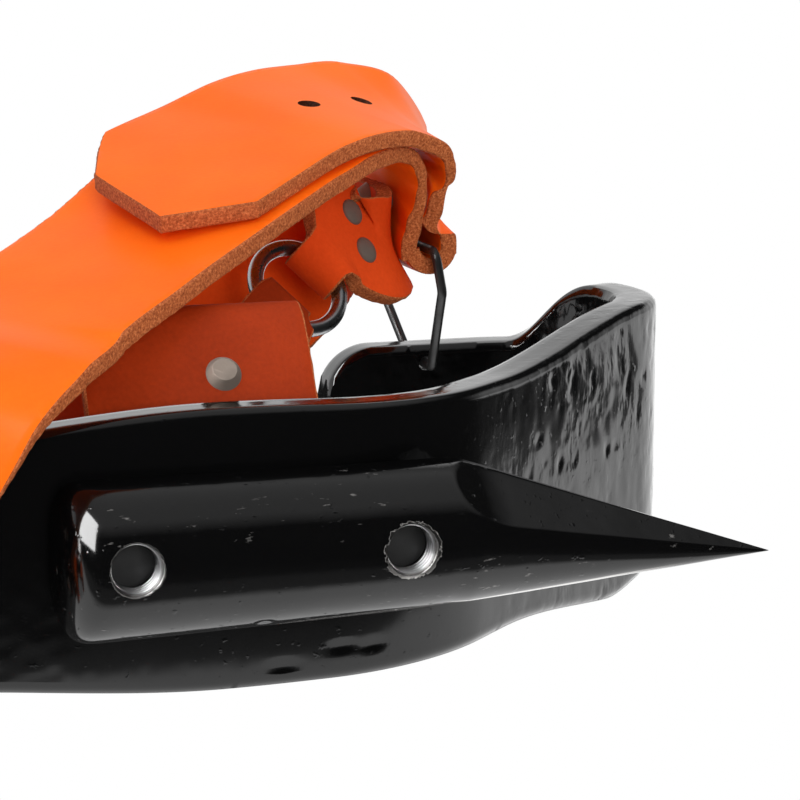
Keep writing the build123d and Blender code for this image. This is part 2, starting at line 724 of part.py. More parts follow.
with BuildPart() as leg_bar_nuts:
    for x in bolt_xs:
        with BuildSketch(Plane(origin=(x, bar_face_y, mid_z), z_dir=(0, 1, 0))):
            RegularPolygon(nut_across_flats / 2, 6, major_radius=False)
            Circle(bolt_radius + thread_gap, mode=Mode.SUBTRACT)
        extrude(amount=nut_height)
save(leg_bar_nuts, "leg_bar_nuts")

# Calf plate: flat on the bar, with one wing curved round the leg
wing_y = plate_face_y + wing_radius
wing_z = mid_z + bar_width / 2
flat_low = mid_z - bar_width / 2
outer_radius = wing_radius + plate_thickness


def on_wing(radius, angle):
    """A point of the wing's section at a radius and an angle up from the flat."""
    return (wing_y - radius * cos(radians(angle)), wing_z + radius * sin(radians(angle)))


with BuildPart() as calf_plate:
    with BuildSketch(Plane(origin=(plate_top_x, 0, 0), x_dir=(0, 1, 0), z_dir=(1, 0, 0))):
        with BuildLine():
            back = ThreePointArc(
                on_wing(outer_radius, 0), on_wing(outer_radius, wing_angle / 2),
                on_wing(outer_radius, wing_angle),
            )
            front = ThreePointArc(
                on_wing(wing_radius, 0), on_wing(wing_radius, wing_angle / 2),
                on_wing(wing_radius, wing_angle),
            )
            Line(back @ 1, front @ 1)
            Polyline(back @ 0, (bar_face_y, flat_low), (plate_face_y, flat_low), front @ 0)
        make_face()
    extrude(amount=plate_length)
    with BuildSketch(Plane(origin=(plate_mid_x, 0, 0), x_dir=(1, 0, 0), z_dir=(0, -1, 0))):
        with Locations((0, (flat_low + on_wing(outer_radius, wing_angle)[1]) / 2)):
            RectangleRounded(
                plate_length, on_wing(outer_radius, wing_angle)[1] - flat_low, plate_corner_radius
            )
    extrude(amount=-wing_radius, mode=Mode.INTERSECT)
    add(drill(plate_rivets, rivet_radius + rivet_gap), mode=Mode.SUBTRACT)
save(calf_plate, "calf_plate")
save(make_rivets(plate_rivets, flush=True), "calf_plate_rivets")

# Calf pad on the leg side of the plate
pad_back = wing_radius - soft_gap
pad_front = wing_radius - pad_thickness
pad_low = flat_low + pad_margin
pad_back_y = plate_face_y + soft_gap
with BuildPart() as calf_pad:
    with BuildSketch(Plane(
        origin=(plate_top_x + pad_margin, 0, 0), x_dir=(0, 1, 0), z_dir=(1, 0, 0),
    )):
        with BuildLine():
            back = ThreePointArc(
                on_wing(pad_back, 0), on_wing(pad_back, wing_angle / 2),
                on_wing(pad_back, wing_angle - pad_margin),
            )
            front = ThreePointArc(
                on_wing(pad_front, 0), on_wing(pad_front, wing_angle / 2),
                on_wing(pad_front, wing_angle - pad_margin),
            )
            Line(back @ 1, front @ 1)
            Polyline(
                back @ 0, (pad_back_y, pad_low), (pad_back_y + pad_thickness - soft_gap, pad_low),
                front @ 0,
            )
        make_face()
    extrude(amount=plate_length - 2 * pad_margin)
    fillet(calf_pad.edges(), pad_edge_radius)
save(calf_pad, "calf_pad")

# Calf strap: from its buckle over the top, behind the leg bar, under the plate and up to a tip
calf_low_z = leather / 2 + ground_gap
calf_back_y = bar_back_y - soft_gap - leather / 2
calf_seat = Plane(
    origin=(calf_strap_x, calf_buckle_y + bar_radius + soft_gap + leather / 2, calf_buckle_z),
    x_dir=(1, 0, 0), z_dir=(0, 1, 0),
)
with BuildPart() as calf_strap:
    with BuildSketch(Plane(
        origin=(calf_strap_x - strap_width / 2, 0, 0), x_dir=(0, 1, 0), z_dir=(1, 0, 0),
    )):
        with BuildLine():
            FilletPolyline(
                (calf_buckle_y - 14, calf_tip_z), (calf_buckle_y - 10, calf_low_z),
                (calf_back_y, calf_low_z), (calf_back_y, wing_z + 4), (22, calf_loop_top - 11),
                (40, calf_loop_top), (112, calf_loop_top), (calf_buckle_y, calf_loop_top - 11),
                (calf_buckle_y, calf_buckle_z + chape_overlap),
                radius=(30, 4, 30, 18, 22, 22, 14),
            )
        trace(line_width=leather)
    extrude(amount=strap_width)
    add(make_chape(calf_seat, chape_overlap + leather, calf_flap).part)
save(calf_strap, "calf_strap")
calf_frame, calf_roller, calf_prong = make_buckle(calf_seat)
save(calf_frame, "calf_buckle_frame")
save(calf_roller, "calf_buckle_roller")
save(calf_prong, "calf_buckle_prong")

# Keeper that slides along the top run of the calf strap
with BuildPart() as calf_strap_keeper:
    with BuildSketch(Plane(
        origin=(calf_strap_x, keeper_y - keeper_width / 2, calf_loop_top), x_dir=(1, 0, 0), z_dir=(0, 1, 0),
    )):
        Rectangle(
            strap_width + 2 * soft_gap + 2 * keeper_thickness,
            leather + 2 * soft_gap + 2 * keeper_thickness,
        )
        Rectangle(strap_width + 2 * soft_gap, leather + 2 * soft_gap, mode=Mode.SUBTRACT)
    extrude(amount=keeper_width)
save(calf_strap_keeper, "calf_strap_keeper")

# The common frame: origin under the middle of the whole climber, on the surface it lies on
boxes = [piece.part.bounding_box() for piece in pieces.values()]
low = Vector(min(b.min.X for b in boxes), min(b.min.Y for b in boxes), min(b.min.Z for b in boxes))
high = Vector(max(b.max.X for b in boxes), max(b.max.Y for b in boxes), max(b.max.Z for b in boxes))
shift = Vector(-(low.X + high.X) / 2, -(low.Y + high.Y) / 2, -low.Z)
for name, piece in pieces.items():
    placed = piece.part.moved(Location(shift))
    placed.label = name
    export_step(placed, f"parts/{name}.step")
    print(name, len(placed.solids()), round(placed.volume))
print("box", low, high, "moved by", shift)
print("foot buckle bar", buckle_seat.origin + shift, buckle_seat.x_dir, buckle_seat.y_dir)
print("calf buckle bar", calf_seat.origin + shift, calf_seat.x_dir, calf_seat.y_dir)
print("link hole", link_axis.origin + shift)
print("ring", ring_centre + shift, ring_facing)
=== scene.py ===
# %% [markdown]
# # A gaff climber for tree work
# The steel stirrup, its bolted spike and the leather straps come from the CAD frame. This lesson
# dresses that frame: thick gloss paint over forged steel, and leather with a smooth face and raw
# brown edges. Sizes are millimetres of the CAD design, turned into metres by `mm`.

# %% Load the frame
import math
import bpy
import numpy as np
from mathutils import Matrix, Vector, noise


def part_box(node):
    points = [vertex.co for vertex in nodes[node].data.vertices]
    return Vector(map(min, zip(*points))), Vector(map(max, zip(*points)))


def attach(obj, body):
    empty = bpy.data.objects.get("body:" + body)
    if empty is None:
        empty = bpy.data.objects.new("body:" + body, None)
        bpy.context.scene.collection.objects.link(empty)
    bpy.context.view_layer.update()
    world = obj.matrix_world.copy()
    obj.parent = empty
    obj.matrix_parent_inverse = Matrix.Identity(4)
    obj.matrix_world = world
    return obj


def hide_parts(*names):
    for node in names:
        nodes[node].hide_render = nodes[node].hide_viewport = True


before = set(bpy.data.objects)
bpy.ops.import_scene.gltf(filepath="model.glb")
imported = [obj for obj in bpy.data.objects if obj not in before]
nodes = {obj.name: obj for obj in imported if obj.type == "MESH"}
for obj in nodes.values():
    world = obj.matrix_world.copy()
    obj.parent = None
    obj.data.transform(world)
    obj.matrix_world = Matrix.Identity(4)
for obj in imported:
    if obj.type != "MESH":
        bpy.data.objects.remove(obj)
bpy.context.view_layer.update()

mm = 0.001
gaff_left = -51.0
home = Vector((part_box("gaff")[0].x - gaff_left * mm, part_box("gaff")[1].y, 0.0))
print("design zero in the frame", tuple(round(v, 4) for v in home))


def place(x, y, z):
    """A point of the design, in millimetres, as a point of the frame in metres."""
    return Vector((x, y, z)) * mm + home


def unit(vector):
    """A numpy vector of length one."""
    vector = np.array(vector, float)
    return vector / np.linalg.norm(vector)


# %% [markdown]
# ## Camera
# The photo looks along the spike's arm from its left, a little from above, through a long lens.
# A camera with the same angles makes every later piece easy to compare with the photo.

# %% Camera
camera_target = place(0, 0, 45)
camera_distance = 0.380
camera_azimuth = math.radians(17)
camera_elevation = math.radians(10.8)
camera_lens = 119.7
look = Vector((
    math.sin(camera_azimuth) * math.cos(camera_elevation),
    math.cos(camera_azimuth) * math.cos(camera_elevation),
    -math.sin(camera_elevation),
))
bpy.ops.object.camera_add(location=camera_target - look * camera_distance)
camera = bpy.context.object
camera.name = "photo_camera"
camera.rotation_euler = look.to_track_quat("-Z", "Y").to_euler()
camera.data.lens = camera_lens
camera.data.sensor_width = 36
camera.data.clip_start = 0.01
bpy.context.scene.camera = camera
print("camera at", tuple(round(v, 3) for v in camera.location))

# %% [markdown]
# ## Shared shader helpers
# Small functions add the nodes that come back in every finish: noise in object space, a colour
# ramp, a bump and a little arithmetic. They could be wired by hand in the shader editor; as functions
# they read like a list of what a finish does. Effects that several finishes share are node groups.

# %% Texture helpers


def feed(tree, socket, value):
    """Set a socket to a plain number, or link an output to it."""
    if isinstance(value, float):
        socket.default_value = value
    else:
        tree.links.new(value, socket)


def link_noise(tree, scale, detail=3.0, stretch=(1, 1, 1), rough=0.5):
    """A noise texture in object space; scale is in cells per metre."""
    coords = tree.nodes.new("ShaderNodeTexCoord")
    mapping = tree.nodes.new("ShaderNodeMapping")
    mapping.inputs["Scale"].default_value = stretch
    texture = tree.nodes.new("ShaderNodeTexNoise")
    texture.inputs["Scale"].default_value = scale
    texture.inputs["Detail"].default_value = detail
    texture.inputs["Roughness"].default_value = rough
    tree.links.new(coords.outputs["Object"], mapping.inputs["Vector"])
    tree.links.new(mapping.outputs["Vector"], texture.inputs["Vector"])
    return texture.outputs["Fac"]


def link_ramp(tree, source, stops):
    """A colour ramp from (position, colour) stops, fed by a value output."""
    ramp = tree.nodes.new("ShaderNodeValToRGB")
    while len(ramp.color_ramp.elements) < len(stops):
        ramp.color_ramp.elements.new(0.5)
    for element, (position, colour) in zip(ramp.color_ramp.elements, stops):
        element.position = position
        element.color = (*colour, 1)
    tree.links.new(source, ramp.inputs["Fac"])
    return ramp.outputs["Color"]


def link_bump(tree, height, distance, strength=1.0, normal=None):
    """A bump node on a height output, chained after another normal if one is given."""
    bump = tree.nodes.new("ShaderNodeBump")
    bump.inputs["Distance"].default_value = distance
    feed(tree, bump.inputs["Strength"], strength)
    tree.links.new(height, bump.inputs["Height"])
    if normal is not None:
        tree.links.new(normal, bump.inputs["Normal"])
    return bump.outputs["Normal"]


# %% Value helpers


def link_range(tree, value, low, high):
    """A value mapped from low..high to 0..1 and clamped."""
    mapped = tree.nodes.new("ShaderNodeMapRange")
    mapped.inputs["From Min"].default_value = low
    mapped.inputs["From Max"].default_value = high
    tree.links.new(value, mapped.inputs["Value"])
    return mapped.outputs["Result"]


def link_math(tree, operation, *values):
    """A math node on its values, each an output or a plain number."""
    node = tree.nodes.new("ShaderNodeMath")
    node.operation = operation
    for socket, value in zip(node.inputs, values):
        feed(tree, socket, value)
    return node.outputs["Value"]


def link_offset(tree, origin):
    """The object position measured from a point of the frame."""
    coords = tree.nodes.new("ShaderNodeTexCoord")
    offset = tree.nodes.new("ShaderNodeVectorMath")
    offset.operation = "SUBTRACT"
    offset.inputs[1].default_value = origin
    tree.links.new(coords.outputs["Object"], offset.inputs[0])
    return offset.outputs["Vector"]


def link_place(tree):
    """The place in the design, as X, Y and Z outputs in metres."""
    split = tree.nodes.new("ShaderNodeSeparateXYZ")
    tree.links.new(link_offset(tree, home), split.inputs["Vector"])
    return split.outputs


# %% Groups and materials


def new_group(name, inputs, outputs):
    """A shader node group with named sockets; returns it with its input and output nodes."""
    group = bpy.data.node_groups.new(name, "ShaderNodeTree")
    for socket_name, kind, value in inputs:
        socket = group.interface.new_socket(name=socket_name, in_out="INPUT", socket_type=kind)
        socket.default_value = value
    for socket_name, kind in outputs:
        group.interface.new_socket(name=socket_name, in_out="OUTPUT", socket_type=kind)
    return group, group.nodes.new("NodeGroupInput"), group.nodes.new("NodeGroupOutput")


def new_material(name, colour, roughness, metallic=0.0):
    """A Principled material with the given base values; returns material, node tree, shader."""
    material = bpy.data.materials.new(name)
    material.use_nodes = True
    shader = material.node_tree.nodes["Principled BSDF"]
    shader.inputs["Base Color"].default_value = (*colour, 1)
    shader.inputs["Roughness"].default_value = roughness
    shader.inputs["Metallic"].default_value = metallic
    return material, material.node_tree, shader


def use_group(tree, group, **values):
    """A group placed in a material, with its input values set by name."""
    node = tree.nodes.new("ShaderNodeGroup")
    node.node_tree = group
    for socket_name, value in values.items():
        node.inputs[socket_name].default_value = value
    return node


# %% [markdown]
# ## Paint
# The steel was dipped in thick gloss black paint. It flowed, so its skin has slow waves, and dust
# dried into it as small nibs. A painted picture could show both, but noise in object space needs no
# unwrapping and stays sharp close up. Both are one group, which the stirrup and the spike share.

# %% Paint skin group
wave_cells, wave_depth = 130, 0.0012
nib_cells, nib_depth, nib_cut = 900, 0.0002, (0.66, 0.80)
hung_down = (1, 1, 0.6)
paint_skin, skin_in, skin_out = new_group(
    "paint_skin",
    [("Waves", "NodeSocketFloat", 0.3), ("Nibs", "NodeSocketFloat", 0.3)],
    [("Normal", "NodeSocketVector")],
)
skin_waves = link_noise(paint_skin, wave_cells, 2, hung_down)
skin_nibs = link_range(paint_skin, link_noise(paint_skin, nib_cells, 2), *nib_cut)
skin_normal = link_bump(paint_skin, skin_waves, wave_depth, skin_in.outputs["Waves"])
skin_normal = link_bump(paint_skin, skin_nibs, nib_depth, skin_in.outputs["Nibs"], skin_normal)
paint_skin.links.new(skin_normal, skin_out.inputs["Normal"])
print("group", paint_skin.name)

# %% Paint finish
paint_black = (0.0018, 0.0018, 0.0019)
paint_roughness = 0.11


def make_paint(name, waves, nibs):
    """Thick gloss black paint."""
    material, tree, shader = new_material(name, paint_black, paint_roughness)
    skin = use_group(tree, paint_skin, Waves=waves, Nibs=nibs)
    tree.links.new(skin.outputs["Normal"], shader.inputs["Normal"])
    return material, tree, shader


# %% [markdown]
# ### Paint of the stirrup
# The paint is even on the arm and lumpy on the bend, where it ran before it dried. The lumps are a
# second bump, let in by the distance along the arm and broken up by a slow noise, so that they come
# in patches.

# %% Paint of the stirrup
bend_from, bend_to = 14.0, 34.0
patch_cells, patch_cut = 90, (0.40, 0.65)
lump_cells, lump_depth, lump_share = 340, 0.0008, 0.35
black_paint, black_tree, black_shader = make_paint("black_paint", 0.08, 0.15)
on_bend = link_range(black_tree, link_place(black_tree)["X"], bend_from * mm, bend_to * mm)
patchy = link_range(black_tree, link_noise(black_tree, patch_cells, 2), *patch_cut)
lumpy = link_math(black_tree, "MULTIPLY", on_bend, patchy)
lumpy = link_math(black_tree, "MULTIPLY", lumpy, lump_share)
lump_height = link_noise(black_tree, lump_cells, 2, hung_down)
even_normal = black_shader.inputs["Normal"].links[0].from_socket
lumpy_normal = link_bump(black_tree, lump_height, lump_depth, lumpy, even_normal)
black_tree.links.new(lumpy_normal, black_shader.inputs["Normal"])
print("paint", black_paint.name)

# %% [markdown]
# ### Paint of the spike
# Screws and bark chip the spike's paint. Three masks find the bare steel: a ragged rim round each
# tapped hole, a strip along the ground lower edge that fades towards the tip, and patches of fine
# scuffs. Each mask is a distance or a noise, so no picture has to be painted by hand.

# %% Chips round the holes
gaff_z = 26.0
hole_xs = (-41.0, -2.0)
hole_radius = 3.75
chip_reach = (4.15, 5.0)
chip_cells, chip_cut = 1100, (0.34, 0.40)
gaff_paint, gaff_tree, gaff_shader = make_paint("gaff_paint", 0.08, 0.3)


def link_distance(tree, origin, direction):
    """Distance of the surface from a line through a point of the frame."""
    across = tree.nodes.new("ShaderNodeVectorMath")
    across.operation = "CROSS_PRODUCT"
    across.inputs[1].default_value = direction
    tree.links.new(link_offset(tree, origin), across.inputs[0])
    length = tree.nodes.new("ShaderNodeVectorMath")
    length.operation = "LENGTH"
    tree.links.new(across.outputs["Vector"], length.inputs[0])
    return length.outputs["Value"]


chip_noise = link_noise(gaff_tree, chip_cells, 3, rough=0.6)
chipped = 0.0
for hole_x, reach in zip(hole_xs, chip_reach):
    rim = link_distance(gaff_tree, place(hole_x, 0, gaff_z), (0, 1, 0))
    worn = link_range(gaff_tree, rim, reach * mm, hole_radius * mm)
    chips = link_math(gaff_tree, "MULTIPLY", worn, chip_noise)
    chipped = link_math(gaff_tree, "MAXIMUM", chipped, chips)
chipped = link_range(gaff_tree, chipped, *chip_cut)
print("chipped rims", len(hole_xs))

# %% Ground edge
gaff_tip = np.array((56.0, -5.0, 20.0))
ground_edge = np.array((8.0, -6.2, 16.1))
strip_outside, strip_inside = 1.6, 1.3
fade_end, fade_start = 42.0, 30.0
strip_shine = 0.85
strip = link_distance(gaff_tree, place(*gaff_tip), unit(gaff_tip - ground_edge))
strip = link_range(gaff_tree, strip, strip_outside * mm, strip_inside * mm)
fade = link_range(gaff_tree, link_place(gaff_tree)["X"], fade_end * mm, fade_start * mm)
fade = link_math(gaff_tree, "MULTIPLY", fade, strip_shine)
ground = link_math(gaff_tree, "MULTIPLY", strip, fade)
print("ground edge fades from", fade_start, "to", fade_end, "mm")

# %% Scuffs and bare steel
bright_steel = (0.62, 0.60, 0.58)
scuff_cells, scuff_cut, scuff_shine = 900, (0.66, 0.73), 0.22
scuff_patch_cells, scuff_patch_cut = 75, (0.50, 0.58)
drawn_along = (0.35, 1, 1)
scuffs = link_range(gaff_tree, link_noise(gaff_tree, scuff_cells, 3, drawn_along, 0.6), *scuff_cut)
scuff_patches = link_range(gaff_tree, link_noise(gaff_tree, scuff_patch_cells, 2), *scuff_patch_cut)
scuffs = link_math(gaff_tree, "MULTIPLY", scuffs, scuff_patches)
scuffs = link_math(gaff_tree, "MULTIPLY", scuffs, scuff_shine)
bare = link_math(gaff_tree, "MAXIMUM", chipped, ground)
bare = link_math(gaff_tree, "MAXIMUM", bare, scuffs)
gaff_colour = link_ramp(gaff_tree, bare, [(0.0, paint_black), (1.0, bright_steel)])
gaff_tree.links.new(gaff_colour, gaff_shader.inputs["Base Color"])
gaff_tree.links.new(bare, gaff_shader.inputs["Metallic"])
print("paint", gaff_paint.name)

# %% [markdown]
# ## Leather
# Leather has three sides. The grain side is smooth and orange, the flesh side is duller, and the
# cut edge shows brown fibres. The grain of the first two is one group with two colours, so each strap
# only names its own pair. Oiled leather hardly shines, so its specular level is low.

# %% Leather group
shade_cells, grain_cells = 55, 1500
grain_depth, grain_share, grain_cut = 0.0002, 0.35, (0.45, 0.90)
leather_grain, grain_in, grain_out = new_group(
    "leather_grain",
    [
        ("Dark", "NodeSocketColor", (0.5, 0.1, 0.02, 1)),
        ("Light", "NodeSocketColor", (0.9, 0.2, 0.02, 1)),
        ("Grain", "NodeSocketFloat", 0.3),
    ],
    [("Color", "NodeSocketColor"), ("Normal", "NodeSocketVector")],
)
grain_shade = link_noise(leather_grain, shade_cells, 4)
grain_fine = link_noise(leather_grain, grain_cells, 3)
grain_both = link_math(leather_grain, "MULTIPLY_ADD", grain_fine, grain_share, grain_shade)
grain_mix = leather_grain.nodes.new("ShaderNodeMix")
grain_mix.data_type = "RGBA"
leather_grain.links.new(link_range(leather_grain, grain_both, *grain_cut), grain_mix.inputs["Factor"])
colour_sockets = [socket for socket in grain_mix.inputs if socket.type == "RGBA"]
for socket, shade_name in zip(colour_sockets, ("Dark", "Light")):
    leather_grain.links.new(grain_in.outputs[shade_name], socket)
grain_colour = next(socket for socket in grain_mix.outputs if socket.type == "RGBA")
leather_grain.links.new(grain_colour, grain_out.inputs["Color"])
grain_normal = link_bump(leather_grain, grain_fine, grain_depth, grain_in.outputs["Grain"])
leather_grain.links.new(grain_normal, grain_out.inputs["Normal"])
print("group", leather_grain.name)

# %% Leather finishes
leather_specular = 0.05
edge_specular = 0.1
fibre_cells, fibre_depth = 2600, 0.0004


def make_leather(name, dark, light, roughness, grain):
    """Leather with a slow colour change and a fine grain."""
    material, tree, shader = new_material(name, light, roughness)
    surface = use_group(tree, leather_grain, Dark=(*dark, 1), Light=(*light, 1), Grain=grain)
    tree.links.new(surface.outputs["Color"], shader.inputs["Base Color"])
    tree.links.new(surface.outputs["Normal"], shader.inputs["Normal"])
    shader.inputs["Specular IOR Level"].default_value = leather_specular
    return material


def make_raw_edge(name, dark, middle, light):
    """Cut leather edge: brown fibres with dark gaps."""
    material, tree, shader = new_material(name, middle, 0.9)
    fibres = link_noise(tree, fibre_cells, 5, rough=0.65)
    colour = link_ramp(tree, fibres, [(0.32, dark), (0.5, middle), (0.70, light)])
    tree.links.new(colour, shader.inputs["Base Color"])
    tree.links.new(link_bump(tree, fibres, fibre_depth, 0.8), shader.inputs["Normal"])
    shader.inputs["Specular IOR Level"].default_value = edge_specular
    return material


orange_grain = make_leather("orange_grain", (0.88, 0.122, 0.004), (0.96, 0.150, 0.006), 0.38, 0.10)
flesh_side = make_leather("flesh_side", (0.52, 0.042, 0.005), (0.68, 0.066, 0.009), 0.7, 0.4)
# painted shade: a darker copy of the flesh side, for the near tab, which sits in shade inside the loop
painted_shade_flesh = make_leather("painted_shade_flesh", (0.22, 0.020, 0.003), (0.34, 0.033, 0.005), 0.7, 0.4)
# painted light: a lighter copy of the flesh side, for the heel strap, which lies in shadow behind the
# ring
painted_light_flesh = make_leather("painted_light_flesh", (0.68, 0.072, 0.008), (0.84, 0.100, 0.012), 0.6, 0.3)
pad_leather = make_leather("pad_leather", (0.10, 0.035, 0.015), (0.17, 0.06, 0.025), 0.5, 0.6)
raw_edge = make_raw_edge("raw_edge", (0.20, 0.042, 0.013), (0.39, 0.100, 0.030), (0.66, 0.21, 0.076))
# painted shade: a near black copy of the raw edge, for the walls inside the punched holes
painted_shade_hole_edge = make_raw_edge("painted_shade_hole_edge", (0.02, 0.006, 0.003), (0.05, 0.014, 0.006), (0.10, 0.03, 0.012))
print("leathers", orange_grain.name, flesh_side.name, painted_shade_flesh.name, painted_light_flesh.name, pad_leather.name)

# %% [markdown]
# ## Hardware finishes
# Buckles and the ring are plated, bolts are bare steel, rivets are dull, and the link is black wire.
# A worn metal is never one flat grey, so each has a noise in its roughness. One function makes them
# all, from a colour and the two ends of the roughness.

# %% Hardware finishes
wear_cells, wear_depth = 400, 0.0001


def make_metal(name, colour, low, high, metallic=1.0):
    """Metal whose roughness wanders between two values."""
    material, tree, shader = new_material(name, colour, low, metallic)
    wear = link_noise(tree, wear_cells, 4)
    rough = link_ramp(tree, wear, [(0.35, (low,) * 3), (0.65, (high,) * 3)])
    tree.links.new(rough, shader.inputs["Roughness"])
    tree.links.new(link_bump(tree, wear, wear_depth, 0.3), shader.inputs["Normal"])
    return material


plated_steel = make_metal("plated_steel", (0.62, 0.62, 0.62), 0.14, 0.32)
bare_steel = make_metal("bare_steel", (0.42, 0.42, 0.43), 0.28, 0.5)
dull_rivet = make_metal("dull_rivet", (0.22, 0.18, 0.15), 0.5, 0.75, 0.6)
ring_steel = make_metal("ring_steel", (0.34, 0.35, 0.36), 0.2, 0.4)
black_wire = make_metal("black_wire", (0.012, 0.012, 0.012), 0.3, 0.5, 0.0)
screw_black = make_metal("screw_black", (0.02, 0.02, 0.02), 0.35, 0.6, 0.0)
print("finishes", len(bpy.data.materials))

# %% [markdown]
# ## Pieces that keep their CAD mesh
# Buckles and the ring are round bars already, and the screws sit deep in their holes, so they only
# need a finish.

# %% Finishes of the kept pieces
kept_finish = {
    "gaff_screws": screw_black, "heel_ring": ring_steel,
    "foot_buckle_frame": plated_steel, "foot_buckle_roller": plated_steel,
    "foot_buckle_prong": plated_steel, "calf_buckle_frame": plated_steel,
    "calf_buckle_roller": plated_steel, "calf_buckle_prong": plated_steel,
}
for node_name, finish in kept_finish.items():
    nodes[node_name].data.materials.clear()
    nodes[node_name].data.materials.append(finish)
print("kept pieces", len(kept_finish))

# %% [markdown]
# ## Bands
# The forged stirrup and every leather strap are the same kind of thing: a flat section carried
# along a route. A curve with a bevel could do it, but it can't change its two edges one by one, so
# a grid is rolled up instead: each row is a rounded rectangle, laid across one place of the route.
# The grid's last column meets its first, and the rows close flat at both ends.

# %% Mesh helpers


def select_only(*pieces):
    """Select these pieces and no other, with the first one active."""
    bpy.ops.object.select_all(action="DESELECT")
    for piece in pieces:
        piece.select_set(True)
    bpy.context.view_layer.objects.active = pieces[0]


def apply_modifiers(piece):
    """Apply all modifiers of a piece, in order."""
    select_only(piece)
    for modifier in list(piece.modifiers):
        bpy.ops.object.modifier_apply(modifier=modifier.name)


def close_mesh(piece, distance=2e-6):
    """Merge the seams of a piece and turn its faces outwards."""
    select_only(piece)
    bpy.ops.object.mode_set(mode="EDIT")
    bpy.ops.mesh.select_all(action="SELECT")
    bpy.ops.mesh.remove_doubles(threshold=distance)
    bpy.ops.mesh.normals_make_consistent(inside=False)
    bpy.ops.object.mode_set(mode="OBJECT")


def join_pieces(name, pieces):
    """Pieces joined into the first one, smooth, with their places in its mesh."""
    select_only(*pieces)
    bpy.ops.object.join()
    joined = bpy.context.object
    joined.name = name
    bpy.ops.object.transform_apply(location=True, rotation=True, scale=True)
    bpy.ops.object.shade_smooth()
    return joined


# %% Rolled grid


def rolled_grid(name, points):
    """A grid whose rows follow points in design millimetres; its last column meets its first."""
    row_count, column_count = points.shape[:2]
    bpy.ops.object.select_all(action="DESELECT")
    bpy.ops.mesh.primitive_grid_add(x_subdivisions=row_count - 1, y_subdivisions=column_count, size=1)
    piece = bpy.context.object
    piece.name = name
    flat = np.zeros(len(piece.data.vertices) * 3)
    piece.data.vertices.foreach_get("co", flat)
    flat = flat.reshape(-1, 3)
    rows = np.rint((flat[:, 0] + 0.5) * (row_count - 1)).astype(int)
    columns = np.rint((flat[:, 1] + 0.5) * column_count).astype(int) % column_count
    centres = np.zeros(len(piece.data.polygons) * 3)
    piece.data.polygons.foreach_get("center", centres)
    centres = centres.reshape(-1, 3)
    face_rows = np.floor((centres[:, 0] + 0.5) * (row_count - 1)).astype(int)
    face_columns = np.floor((centres[:, 1] + 0.5) * column_count).astype(int)
    world = points[rows, columns] * mm + np.array(home)
    piece.data.vertices.foreach_set("co", world.ravel())
    return piece, face_rows, face_columns


def wander(points, scale, seed=0.0):
    """Smooth noise for an array of points; scale is the size of a lump in millimetres."""
    flat = points.reshape(-1, 3) / scale + seed
    return np.array([noise.noise(Vector(p)) for p in flat]).reshape(points.shape[:-1])


# %% Band section


def section_of(columns, rim_steps, arc_steps):
    """A rounded rectangle: place across, step out, side, height share, and face 0, 2 or rim 1."""
    arc = np.linspace(0, math.pi / 2, arc_steps + 1)[1:]
    straight = np.linspace(1, -1, rim_steps + 1)[1:-1]
    rim = [(math.sin(a), 1, math.cos(a)) for a in arc]
    rim += [(1, s, 0) for s in straight]
    rim += [(out, -1, -drop) for out, _, drop in reversed(rim[1:arc_steps])]
    across = np.linspace(0, 1, columns)
    section = [(f, 0.0, 1, 1.0, 0) for f in across]
    section += [(1.0, out, side, drop, 1) for out, side, drop in rim]
    section += [(f, 0.0, -1, -1.0, 2) for f in across[::-1]]
    section += [(0.0, -out, -side, -drop, 1) for out, side, drop in rim]
    return np.array(section)


# %% Band helper
cap_shares = (0.0, 0.35, 0.7)


def band(name, rows, thickness, corner, finishes, columns=30, rim_steps=4, arc_steps=2, fray=0.0,
         ripple=0.0):
    """A closed band along rows of centre, across direction, near and far half width."""
    centres, near, far = rows[:, :3], rows[:, 6:7], rows[:, 7:8]
    along = np.gradient(centres, axis=0)
    along /= np.linalg.norm(along, axis=1)[:, None]
    across = rows[:, 3:6] - along * np.sum(rows[:, 3:6] * along, axis=1)[:, None]
    across /= np.linalg.norm(across, axis=1)[:, None]
    face = np.cross(along, across)
    place_across, out, side, drop, zone = section_of(columns, rim_steps, arc_steps).T
    small = np.minimum(corner, (near + far) * 0.45)
    sideways = -(near - small) + place_across * (near + far - 2 * small) + out * small
    flat_half = thickness / 2 - corner
    on_rim = (zone == 1) & (drop == 0)
    height = np.where(on_rim, side * flat_half, np.sign(drop) * flat_half + drop * corner)
    height = np.repeat(height[None, :], len(rows), axis=0)
    middle = centres[:, None, :] + across[:, None, :] * sideways[:, :, None]
    points = middle + face[:, None, :] * height[:, :, None]
    if ripple:
        points += face[:, None, :] * (wander(middle, 12.0) * ripple)[:, :, None]
    if fray:
        torn = wander(points, 0.8) + 0.6 * wander(points, 0.35, 7.0)
        outward = np.where(place_across > 0.5, 1.0, -1.0) * (zone == 1)
        points += across[:, None, :] * (torn * outward * fray)[:, :, None]
        points += face[:, None, :] * (wander(points, 0.7, 3.0) * (zone == 1) * fray * 0.5)[:, :, None]
    caps = []
    for row in (0, -1):
        axis = middle[row]
        caps.append([axis + (points[row] - axis) * share for share in cap_shares])
    points = np.concatenate([caps[0], points, caps[1][::-1]])
    piece, face_rows, face_columns = rolled_grid(name, points)
    zones = zone.astype(int)
    following = np.roll(zones, -1)
    face_zone = np.where(zones == following, zones, 1)[face_columns]
    cap_rows = len(cap_shares)
    face_zone[(face_rows < cap_rows) | (face_rows >= len(points) - 1 - cap_rows)] = 1
    for finish in finishes:
        piece.data.materials.append(finish)
    slots = {0: 0, 1: min(2, len(finishes) - 1), 2: min(1, len(finishes) - 1)}
    indices = np.array([slots[z] for z in face_zone])
    piece.data.polygons.foreach_set("material_index", indices)
    close_mesh(piece)
    bpy.ops.object.shade_smooth_by_angle(angle=math.radians(45))
    print(name, len(piece.data.polygons), "faces")
    return piece


